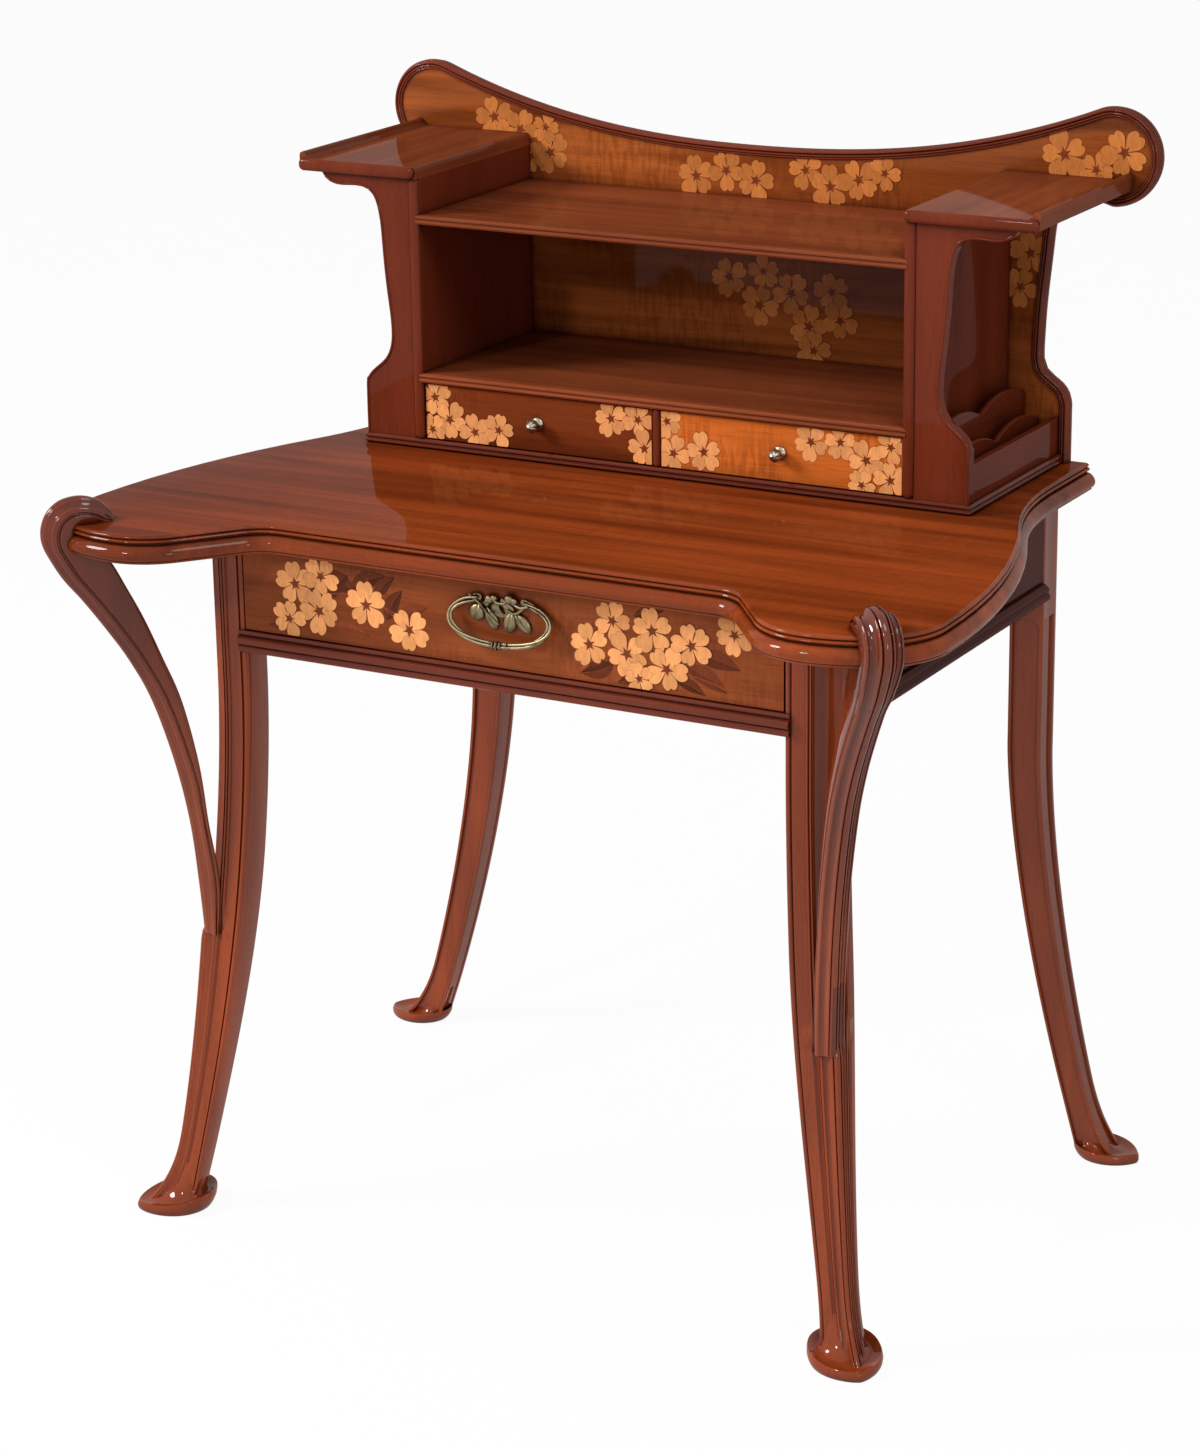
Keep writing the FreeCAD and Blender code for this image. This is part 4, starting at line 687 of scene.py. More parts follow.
def inlay_veneer(name, colour, change):
    """Cut veneer of the inlay: every piece has its own tone."""
    finish = Finish(name)
    tint = finish.node("ShaderNodeAttribute", attribute_name="tint").outputs["Fac"]
    fibre = finish.noise(finish.scaled((320.0, 320.0, 110.0)), 1.0, 4.0, 0.6, 0.4)
    base = finish.ramp(fibre, [(0.3, shade(colour, 0.84)), (0.7, shade(colour, 1.1))])
    lift = finish.reach(tint, 0.0, 1.0, 1.0 - change, 1.0 + change)
    tone = finish.node("ShaderNodeVectorMath", {0: base, "Scale": lift}, operation="SCALE").outputs["Vector"]
    rough = finish.reach(finish.noise(finish.coords, 40.0, 3.0), 0.3, 0.7, 0.3, 0.5)
    finish.set(
        Base_Color=tone,
        Roughness=rough,
        Specular_IOR_Level=0.0,
        Coat_Weight=0.16,
        Coat_Roughness=0.1,
        Coat_IOR=POLISH_IOR,
    )
    return finish.material


def lining_wood(name, colour, axis):
    """Plain unpolished wood of linings and hidden rails."""
    finish = Finish(name)
    fibre = finish.noise(finish.scaled(along(axis, 2.0, 60.0)), 1.0, 6.0, 0.6, 0.3)
    tone = finish.ramp(fibre, [(0.3, shade(colour, 0.6)), (0.5, colour), (0.72, shade(colour, 1.25))])
    dust = finish.noise(finish.coords, 22.0, 5.0)
    finish.set(
        Base_Color=finish.mix(finish.reach(dust, 0.5, 0.8, 0.0, 0.5), tone, (*shade(colour, 0.5), 1.0)),
        Roughness=finish.reach(dust, 0.2, 0.8, 0.5, 0.75),
        Specular_IOR_Level=0.2,
        Normal=finish.bump(fibre, 0.2, 0.4 * MM),
    )
    return finish.material


def patinated_metal(name, colour, dark, rough):
    """Cast metal, rubbed bright on the high parts and dark in the hollows."""
    finish = Finish(name)
    patch = finish.noise(finish.coords, 110.0, 3.0)
    rubbed = finish.reach(finish.maths("MULTIPLY", finish.hollows(4.0 * MM), patch), 0.2, 0.46, 0.0, 1.0)
    finish.set(
        Base_Color=finish.mix(rubbed, (*dark, 1.0), (*colour, 1.0)),
        Metallic=1.0,
        Roughness=finish.reach(patch, 0.3, 0.7, rough - 0.08, rough + 0.12),
        Normal=finish.bump(finish.noise(finish.coords, 420.0, 4.0), 0.15, 0.3 * MM),
    )
    return finish.material


# Polished woods: name, colour, axis of the grain, strength of streaks, ripple and bands, and coat of polish
WOODS = (
    ("leg_z", "leg", 2, 0.8, 0.0, 0.0, 0.52),
    ("rail_x", "frame", 0, 0.6, 0.0, 0.0, 0.45),
    # Aprons: darker mahogany as painted shade
    ("apron_y", "apron", 1, 0.6, 0.0, 0.0, 0.16),
    ("frame_x", "frame", 0, 0.6, 0.0, 0.0, 0.3),
    ("frame_y", "frame", 1, 0.6, 0.0, 0.0, 0.16),
    ("frame_z", "frame", 2, 0.6, 0.0, 0.0, 0.17),
    ("upright_z", "frame", 2, 0.6, 0.0, 0.0, 0.07),
    ("shelf_x", "shelf", 0, 0.9, 0.0, 0.25, 0.2),
    ("shelf_y", "shelf", 1, 0.9, 0.0, 0.25, 0.14),
    ("panel", "panel", 0, 0.9, 0.45, 0.75, 0.16),
    ("drawer", "drawer", 0, 0.9, 0.35, 0.45, 0.16),
    ("drawer_dark", "drawer_dark", 0, 0.9, 0.35, 0.45, 0.16),
    ("drawer_light", "drawer_light", 0, 0.9, 0.5, 0.4, 0.16),
)

# Materials by name, once they are made
FINISHES = {}


class DESK_OT_finishes(bpy.types.Operator):
    """Makes the woods, veneers and metals of the desk"""

    bl_idname = "desk.finishes"
    bl_label = "Finishes"

    def execute(self, context):
        chosen = context.scene.desk_finish
        colours = {name: tuple(getattr(chosen, name)) for name in DeskFinish.__annotations__}
        for name, colour, axis, streaks, ripple, bands, coat in WOODS:
            FINISHES[name] = polished_wood(name, colours[colour], axis, streaks, ripple, bands, coat)
        for name, coat in (("top", 0.14), ("top_edge", 0.32)):
            # The top's left end is darker as painted shade
            FINISHES[name] = polished_wood(name, colours["top"], 0, 1.2, 0.15, 0.4, coat, TOP_PAINTED_SHADE)
        leg = front_leg_axis()
        mend = (MEND_TOP, leg.x + leg.y - MEND_SEAM)
        for name, seam in (("branch_left", None), ("branch_right", mend)):
            FINISHES[name] = polished_wood(name, colours["leg"], 2, 0.8, 0.0, 0.0, 0.75, BRANCH_DARKER_TOP, seam)
        for label, axis in (("x", 0), ("y", 1)):
            FINISHES["inner_" + label] = lining_wood("inner_" + label, colours["inner"], axis)
        FINISHES["blossom"] = inlay_veneer("blossom", colours["blossom"], 0.14)
        FINISHES["blossom_dark"] = inlay_veneer("blossom_dark", colours["blossom_dark"], 0.12)
        FINISHES["leaf"] = inlay_veneer("leaf", colours["leaf"], 0.6)
        for name, rough in (("bronze", 0.34), ("silver", 0.3)):
            FINISHES[name] = patinated_metal(name, colours[name], shade(colours[name], 0.16), rough)
        FINISHES["brass"] = patinated_metal("brass", linear(170, 130, 62), linear(70, 48, 22), 0.4)
        FINISHES["steel"] = patinated_metal("steel", linear(150, 150, 152), linear(60, 58, 56), 0.35)
        return {"FINISHED"}


# What each node of the frame is made of
NODE_FINISH = {
    "top_board": "top", "front_rail": "rail_x", "side_apron": "apron_y", "side_moulding": "apron_y",
    "back_apron": "frame_x", "top_rail": "inner_x", "runner": "inner_y", "kicker": "inner_y",
    "glue_blocks": "inner_x", "plinth": "frame_x", "side_panel": "upright_z", "front_board": "frame_z",
    "back_panel": "panel", "lower_shelf": "shelf_x", "upper_shelf": "shelf_x", "drawer_divider": "frame_z",
    "platform": "shelf_y", "rack_side": "frame_y", "rack_divider_inner": "frame_y",
    "rack_divider_outer": "frame_y", "drawer_front": "drawer", "drawer_side": "inner_y",
    "drawer_back": "inner_x", "drawer_bottom": "inner_y", "small_drawer_front_left": "drawer_dark",
    "small_drawer_front_right": "drawer_light", "small_drawer_side_outer": "inner_y",
    "small_drawer_side_inner": "inner_y", "small_drawer_back": "inner_x", "small_drawer_bottom": "inner_y",
    "front_leg": "leg_z", "back_leg": "leg_z", "branch_left": "branch_left", "branch_right": "branch_right",
    "pull_loop": "bronze", "pull_spray": "bronze", "pull_studs": "bronze", "small_drawer_knob": "silver",
    "lock_case": "brass", "lock_bolt": "steel",
}


def finish_of(name):
    """Finish of a node, by its own name or by its name without a side."""
    stem = name.removesuffix("_right").removesuffix("_left")
    return FINISHES[NODE_FINISH[name if name in NODE_FINISH else stem]]


class DESK_OT_boards(bpy.types.Operator):
    """Gives every board of the frame its finish and an eased arris"""

    bl_idname = "desk.boards"
    bl_label = "Boards"

    def execute(self, context):
        sizes = context.scene.desk_sizes
        for name, node in frame["nodes"].items():
            node.data.materials.clear()
            node.data.materials.append(finish_of(name))
            weld = node.modifiers.new("weld", "WELD")
            weld.merge_threshold = 0.01 * MM
            ease = node.modifiers.new("arris", "BEVEL")
            ease.width = sizes.arris
            ease.segments = 2
            ease.limit_method = "ANGLE"
            ease.angle_limit = math.radians(50.0)
            ease.use_clamp_overlap = True
        return {"FINISHED"}


def top_outline():
    """Right half of the top's outline: places and outward directions, from the middle of the front."""
    leg_low, leg_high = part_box("front_leg_right")
    leg_x = leg_low.x + FRONT_WIDTH / 2
    leg_front = leg_high.y - FRONT_DEPTH
    place = Vector((0.0, leg_front - TOP_FRONT_OVERHANG * MM, 0.0))
    angle = 0.0
    rows = []

    def walk(size, turn):
        nonlocal place, angle
        if turn == 0.0:
            heading = Vector((math.cos(angle), math.sin(angle), 0.0))
            count = max(int(size / (12.0 * MM)), 2)
            for step in range(1, count + 1):
                rows.append((place + heading * (size * step / count), Vector((heading.y, -heading.x, 0.0))))
        else:
            side = math.copysign(size, turn)
            centre = place + Vector((-math.sin(angle), math.cos(angle), 0.0)) * side
            count = max(int(abs(turn) / 2.5), 8)
            for step in range(1, count + 1):
                course = angle + math.radians(turn) * step / count
                out = Vector((math.sin(course), -math.cos(course), 0.0))
                rows.append((centre + out * side, out))
            angle += math.radians(turn)
        place = rows[-1][0]

    walk(leg_x - TOP_CORNER_SET_IN * MM, 0.0)
    for size, turn in TOP_OUTLINE:
        walk(size * MM, turn)
    draw_in = place.x - (leg_x + FRONT_WIDTH / 2 + TOP_WAIST_MARGIN * MM)
    sweep = TOP_SIDE_SWEEP * MM
    turn = 2.0 * math.atan2(draw_in, sweep)
    radius = sweep / math.sin(turn)
    walk(radius * TOP_SIDE_SHARE, math.degrees(turn))
    walk(radius * (1.0 - TOP_SIDE_SHARE), -math.degrees(turn))
    walk(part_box("top_board")[1].y - place.y, 0.0)
    return rows


class DESK_OT_top(bpy.types.Operator):
    """Shapes the writing surface with its double-curved front and moulded edge"""

    bl_idname = "desk.top"
    bl_label = "Top"

    def execute(self, context):
        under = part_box("top_board")[0].z
        right = top_outline()
        left = [(Vector((-p.x, p.y, 0.0)), Vector((-n.x, n.y, 0.0))) for p, n in reversed(right)]
        rings = []
        for height, reach in TOP_EDGE:
            rings.append([p + n * (reach * MM) + UP * (under + height * MM) for p, n in right + left])
        solid = Solid()
        solid.loft(rings, False)
        count = len(rings[0])
        solid.faces.append([(len(rings) - 1) * count + side for side in range(count)])
        self.underside(solid, count, under)
        made = piece("moulded_top", solid, "desk", FINISHES["top"], 42.0, ["top_board"])
        made.data.materials.append(FINISHES["top_edge"])
        for face in made.data.polygons[: (len(rings) - 1) * count]:
            face.material_index = 1
        return {"FINISHED"}

    def underside(self, solid, count, under):
        """Underside of the top, with the mortise that the lock's bolt enters."""
        low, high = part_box("lock_bolt")
        left, right = low.x - MORTISE_GAP, high.x + MORTISE_GAP
        front, back = low.y - MORTISE_GAP, high.y + MORTISE_GAP
        corners = ((left, front), (right, front), (right, back), (left, back))
        first = len(solid.points)
        solid.add([(x, y, under + deep) for deep in (0.0, MORTISE_DEPTH) for x, y in corners], [])
        at = list(range(first, first + 8))
        for side in range(4):
            after = (side + 1) % 4
            solid.faces.append([at[side], at[after], at[4 + after], at[4 + side]])
        solid.faces.append(at[4:])
        half = count // 2
        solid.faces.append([*range(half), at[2], at[1]])
        solid.faces.append([*range(half, count), at[0], at[3]])
        solid.faces.append([half - 1, half, at[3], at[2]])
        solid.faces.append([count - 1, 0, at[1], at[0]])


def front_sweep(z):
    """How far a front leg has swept outward at a height."""
    return FRONT_FLARE * max((FRONT_KNEE - z) / FRONT_KNEE, 0.0) ** FRONT_POWER


def front_share(z):
    """Share of its full section that a front leg has at a height."""
    return lerp(FRONT_ANKLE, 1.0, smoothstep(z / FRONT_TAPER_TOP))


def back_sweep(z):
    """How far a back leg has swept outward at a height."""
    return BACK_FLARE * max((BACK_KNEE - z) / BACK_KNEE, 0.0) ** BACK_POWER


def carved_places():
    """Places across the carving, from one edge to the other, closer together where it turns."""
    half = []
    edges = (0.0, MIDDLE_EDGE, FLUTE_EDGE, REED_EDGE, 1.0)
    for low, high, count in zip(edges, edges[1:], (6, 6, 8, 6)):
        half += [lerp(low, high, step / count) for step in range(count)]
    half.append(1.0)
    return [-place for place in reversed(half[1:])] + half


def half_wave(value, start, end):
    """Nought at the start and at the end, and one halfway."""
    return math.sin(math.pi * (value - start) / (end - start))


def carved_depth(place):
    """Depth of the carving below its crown, in millimetres."""
    side = abs(place)
    if side > REED_EDGE:
        return QUIRK_DEPTH * (1.0 - max(half_wave(side, REED_EDGE, 1.0), 0.0) ** REED_ROUND)
    if side > FLUTE_EDGE:
        return QUIRK_DEPTH + FLUTE_DEPTH * half_wave(side, FLUTE_EDGE, REED_EDGE)
    if side > MIDDLE_EDGE:
        return QUIRK_DEPTH - REED_RISE * half_wave(side, MIDDLE_EDGE, FLUTE_EDGE) ** REED_ROUND
    return MIDDLE_DEPTH + REED_RISE * (side / MIDDLE_EDGE) ** 5


def corner_points(half_x, half_y, width, roll, unit):
    """Outer front corner, from a hollow to a carved roll."""
    points = []
    for place in carved_places():
        share = (place + 1.0) / 2.0
        turn = math.radians(90.0) * share
        hollow = (half_x - width * math.cos(turn), half_y - width * math.sin(turn))
        swell = CORNER_CROWN / MM * (1.0 - abs(place) ** CROWN_POWER) - carved_depth(place)
        swell *= unit * DIAGONAL
        carved = (half_x - width * (1.0 - share) + swell, half_y - width * share + swell)
        points.append(tuple(lerp(a, b, roll) for a, b in zip(hollow, carved)))
    return points


def side_rows(roll, unit):
    """Depths beside the corner, which are two fine reeds above the branch and a flute below it."""
    rows = []
    count = 14
    for step in range(count + 1):
        share = step / count
        reed = SIDE_REED * unit * (1.0 - abs(math.sin(2.0 * math.pi * share)) ** REED_ROUND)
        flute = SIDE_FLUTE * unit * math.sin(math.pi * share) ** 0.8
        rows.append((SIDE_BAND * unit * share, lerp(reed, flute, roll)))
    return rows


def front_leg_section(half_x, half_y, roll):
    """Front leg cut across, outward and forward of its axis."""
    unit = half_x / (FRONT_WIDTH / 2) * MM
    width = CORNER_WIDTH / MM * unit
    arris = LEG_ARRIS * unit
    band = SIDE_BAND * unit
    rows = side_rows(roll, unit)
    points = arc(-half_x + arris, -half_y + arris, arris, 270.0, 180.0, 4)
    points += [(-half_x + place * unit, half_y - depth * unit) for place, depth in INNER_BEAD]
    points += [(half_x - width - band + place, half_y - depth) for place, depth in rows]
    points += corner_points(half_x, half_y, width, roll, unit)
    points += [(half_x - depth, half_y - width - band + place) for place, depth in reversed(rows)]
    points += arc(half_x - arris, -half_y + arris, arris, 0.0, -90.0, 4)
    return points


def back_leg_section(half, recess):
    """Back leg cut across: beads beside a sunk panel on the front face, and a hollow on either side."""
    unit = half / (BACK_SIZE / 2) * MM
    arris = LEG_ARRIS * unit
    bead = BACK_BEAD * unit
    slope = RECESS_SLOPE * unit
    depth = RECESS_DEPTH * unit * min(recess / (RECESS_FADE * unit), 1.0)
    points = arc(-half + arris, -half + arris, arris, 270.0, 180.0, 4)
    points += [(-half + depth * sunk, half * place) for place, sunk in INNER_HOLLOW]
    points += arc(-half + bead, half - bead, bead, 180.0, 90.0, 4)
    points += [(-recess - slope, half), (-recess, half - depth)]
    points += [(recess, half - depth), (recess + slope, half)]
    points += arc(half - bead, half - bead, bead, 90.0, 0.0, 4)
    points += [(half - depth * sunk, half * place) for place, sunk in OUTER_HOLLOW]
    points += arc(half - arris, -half + arris, arris, 0.0, -90.0, 4)
    return points


def leg_ring(section, centre, direction, z):
    """A section of a leg at its height; just above the floor it flares into the pad foot."""
    flare = max(1.0 - z / FLARE_TOP, 0.0) ** FLARE_POWER
    ring = []
    for out, ahead in section:
        place = Vector((out, -ahead, 0.0))
        towards = max(place.dot(direction), 0.0)
        aside = place - direction * place.dot(direction)
        ring.append(
            centre
            + place * (1.0 - FLARE_SHRINK * flare)
            + direction * (towards * FLARE_AHEAD * flare)
            + aside * (FLARE_ASIDE * flare)
            + UP * z
        )
    return ring


def pad_foot(solid, centre, direction, ankle, pad, rim):
    """Shield-shaped pad with a dished top, pointed along the leg's sweep."""
    across = Vector((-direction.y, direction.x, 0.0))
    rings = []
    for spread, set_in, share, rise in PAD_ROWS:
        neck = ankle * lerp(*PAD_NECK, spread)
        front, back, half = [neck + part * spread - set_in * MM for part in pad]
        middle = PAD_WIDEST * (front + back) - back
        ring = []
        for step in range(PAD_SIDES):
            angle = 2.0 * math.pi * step / PAD_SIDES
            ahead, aside = math.cos(angle), math.sin(angle)
            length = front - middle if ahead > 0 else back + middle
            width = math.copysign(half * abs(aside) ** (PAD_POINT if ahead > 0 else 1.0), aside)
            edge = lerp(rim[1], rim[0], smoothstep((ahead + 1.0) / 2.0))
            z = lerp(sum(rim) / 2, edge, spread) * share + rise * MM
            ring.append(centre(z) + direction * (middle + length * ahead) + across * width + UP * z)
        rings.append(ring)
    solid.loft(rings)


def leg_levels(top, count):
    """Heights of a leg's sections, closer together in its foot."""
    foot = [lerp(FOOT_BOTTOM, FOOT_TOP, step / FOOT_RINGS) for step in range(FOOT_RINGS)]
    return foot + [lerp(FOOT_TOP, top, step / count) for step in range(count + 1)]


def both_sides(solid):
    """The right form and its mirror image, each with the name of its side."""
    return ("right", solid), ("left", solid.flipped())


def pair_of(name, solid, sharp):
    """Makes the right and the left piece, in place of the frame's two nodes."""
    for side, form in both_sides(solid):
        node = name + "_" + side
        piece("carved_" + node, form, "desk", finish_of(node), sharp, [node])


def front_leg_axis():
    """Middle of the right front leg above its knee."""
    low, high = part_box("front_leg_right")
    return Vector((low.x + FRONT_WIDTH / 2, high.y - FRONT_DEPTH / 2, 0.0))


class DESK_OT_front_legs(bpy.types.Operator):
    """Carves the two front legs with their reeded corners and pad feet"""

    bl_idname = "desk.front_legs"
    bl_label = "Front legs"

    def execute(self, context):
        axis = front_leg_axis()
        direction = Vector((DIAGONAL, -DIAGONAL, 0.0))
        solid = Solid()
        rings = []
        for z in leg_levels(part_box("front_leg_right")[1].z, context.scene.desk_sizes.leg_rings):
            share = front_share(z)
            roll = 1.0 - smoothstep((z - CORNER_CHANGE[0]) / (CORNER_CHANGE[1] - CORNER_CHANGE[0]))
            section = front_leg_section(FRONT_WIDTH / 2 * share, FRONT_DEPTH / 2 * share, roll)
            rings.append(leg_ring(section, axis + direction * front_sweep(z), direction, z))
        solid.loft(rings)
        ankle = (FRONT_WIDTH + FRONT_DEPTH) / 2 * FRONT_ANKLE * DIAGONAL
        pad_foot(solid, lambda z: axis + direction * front_sweep(z), direction, ankle, FRONT_PAD, FRONT_RIM)
        pair_of("front_leg", solid, 42.0)
        return {"FINISHED"}


class DESK_OT_back_legs(bpy.types.Operator):
    """Carves the two back legs, which sweep sideways to their pad feet"""

    bl_idname = "desk.back_legs"
    bl_label = "Back legs"

    def execute(self, context):
        low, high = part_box("back_leg_right")
        axis = Vector((low.x + BACK_SIZE / 2, high.y - BACK_SIZE / 2, 0.0))
        direction = Vector((math.cos(BACK_TURN), math.sin(BACK_TURN), 0.0))
        levels = leg_levels(high.z, context.scene.desk_sizes.leg_rings)
        levels += [BACK_RECESS_TOP - BACK_RECESS_ROUND * step / 8 for step in range(9)]
        solid = Solid()
        rings = []
        for z in sorted(levels):
            half = BACK_SIZE / 2 * lerp(BACK_ANKLE, 1.0, min(z / BACK_KNEE, 1.0))
            rise = min(max((z - BACK_RECESS_TOP) / BACK_RECESS_ROUND + 1.0, 0.0), 1.0)
            recess = half * BACK_RECESS_SHARE * max(math.sqrt(1.0 - rise * rise), 0.02)
            section = back_leg_section(half, recess)
            rings.append(leg_ring(section, axis + direction * back_sweep(z), direction, z))
        solid.loft(rings)
        ankle = BACK_SIZE / 2 * BACK_ANKLE
        pad_foot(solid, lambda z: axis + direction * back_sweep(z), direction, ankle, BACK_PAD, BACK_RIM)
        pair_of("back_leg", solid, 42.0)
        return {"FINISHED"}


def branch_section(crest, root, half_width, crown):
    """Branch cut across: flat inside, sunk sides, ribbed outside. Points are (in the plane, aside)."""
    inward = (root - crest).normalized()
    length = (root - crest).length
    unit = half_width / BRANCH_HALF_WIDTH * MM
    edge = crown + carved_depth(1.0) * unit
    taken, kept = BRANCH_ROOM
    share = min(1.0, taken * length / (edge + kept * unit))

    def side(sign):
        rows = [(edge + deep * unit, half_width - sunk * unit) for deep, sunk in BRANCH_SIDE]
        flank = half_width * BRANCH_FLANK
        rows += [(length * BRANCH_FLANK / share, flank), (length / share, flank - BRANCH_ARRIS)]
        return [(crest + inward * (deep * share), sign * aside) for deep, aside in rows]

    points = side(-1.0)[::-1]
    for place in carved_places():
        depth = crown * abs(place) ** CROWN_POWER + carved_depth(place) * unit
        points.append((crest + inward * (depth * share), place * half_width))
    points += side(1.0)
    return points


class DESK_OT_branches(bpy.types.Operator):
    """Carves the ribbed branches that grow from the front legs and clasp the top's corners"""

    bl_idname = "desk.branches"
    bl_label = "Branches"

    def execute(self, context):
        axis = front_leg_axis()
        outer, inner, width = self.stations(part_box("top_board")[1].z)
        ahead = Vector((DIAGONAL, -DIAGONAL, 0.0))
        across = Vector((DIAGONAL, DIAGONAL, 0.0))
        last = len(width) - 1
        rings = []
        for step in range(last * BRANCH_STEPS + 1):
            at = step / BRANCH_STEPS
            index = min(int(at), last - 1)
            half_width = lerp(width[index], width[index + 1], smoothstep(at - index))
            crown = lerp(TAIL_CROWN, CLASP_CROWN, smoothstep(at / CROWN_STATIONS))
            crest, root = smooth_curve(outer, at), smooth_curve(inner, at)
            ring = []
            for place, aside in branch_section(crest, root, half_width, crown):
                ring.append(axis + ahead * place.x + across * aside + UP * place.z)
            rings.append(ring)
        solid = Solid()
        solid.loft(rings)
        pair_of("branch", solid, 48.0)
        return {"FINISHED"}

    def stations(self, top):
        """Outer and inner points and half widths, from the tail on the leg to the tip on the top."""
        outer, inner, width = [], [], []
        for rise, outward, inward in BRANCH_TAIL:
            z = BRANCH_TAIL_Z + rise * MM
            chord = ((FRONT_WIDTH + FRONT_DEPTH) / 2 - CORNER_WIDTH) * DIAGONAL
            corner = front_sweep(z) + (chord + CORNER_CROWN) * front_share(z)
            outer.append(Vector((corner + outward * MM, 0.0, z)))
            inner.append(Vector((corner - inward * MM, 0.0, z)))
            width.append(BRANCH_HALF_WIDTH)
        for out, into in BRANCH_STEM:
            outer.append(Vector((out[0] * MM, 0.0, top - out[1] * MM)))
            inner.append(Vector((into[0] * MM, 0.0, top - into[1] * MM)))
            width.append(BRANCH_HALF_WIDTH)
        for out, into, share in BRANCH_CLASP:
            outer.append(Vector(((CLASP_ARRIS + out[0]) * MM, 0.0, top + out[1] * MM)))
            inner.append(Vector(((CLASP_ARRIS + into[0]) * MM, 0.0, top + into[1] * MM)))
            width.append(CLASP_HALF_WIDTH * share)
        return outer, inner, width


def face_outline(name, axis, at):
    """Outline of a node's flat face at a place on an axis, upwards from its lowest right corner."""
    mesh = frame["nodes"][name].data
    keys = [tuple(round(level, 6) for level in vertex.co) for vertex in mesh.vertices]
    edges = set()
    for polygon in mesh.polygons:
        corners = [keys[index] for index in polygon.vertices]
        if all(abs(corner[axis] - at) < 0.02 * MM for corner in corners):
            edges.update(zip(corners, corners[1:] + corners[:1]))
    following = {start: end for start, end in edges if (end, start) not in edges}
    start = max(following, key=lambda key: (-round(key[2], 4), key[0]))
    loop = [start]
    while following[loop[-1]] != start:
        loop.append(following[loop[-1]])
    if loop[1][2] <= start[2]:
        loop = [start] + loop[:0:-1]
    return [Vector(key) for key in loop]


def moulding(solid, path, profile, inside):
    """Runs a profile of (inward, forward) points along a path on an upright plane."""
    rings = []
    for index, place in enumerate(path):
        ahead = (path[min(index + 1, len(path) - 1)] - path[max(index - 1, 0)]).normalized()
        inward = Vector((-ahead.z, 0.0, ahead.x)) * inside
        rings.append([place + inward * inset + FORWARD * rise for inset, rise in profile])
    solid.loft(rings)


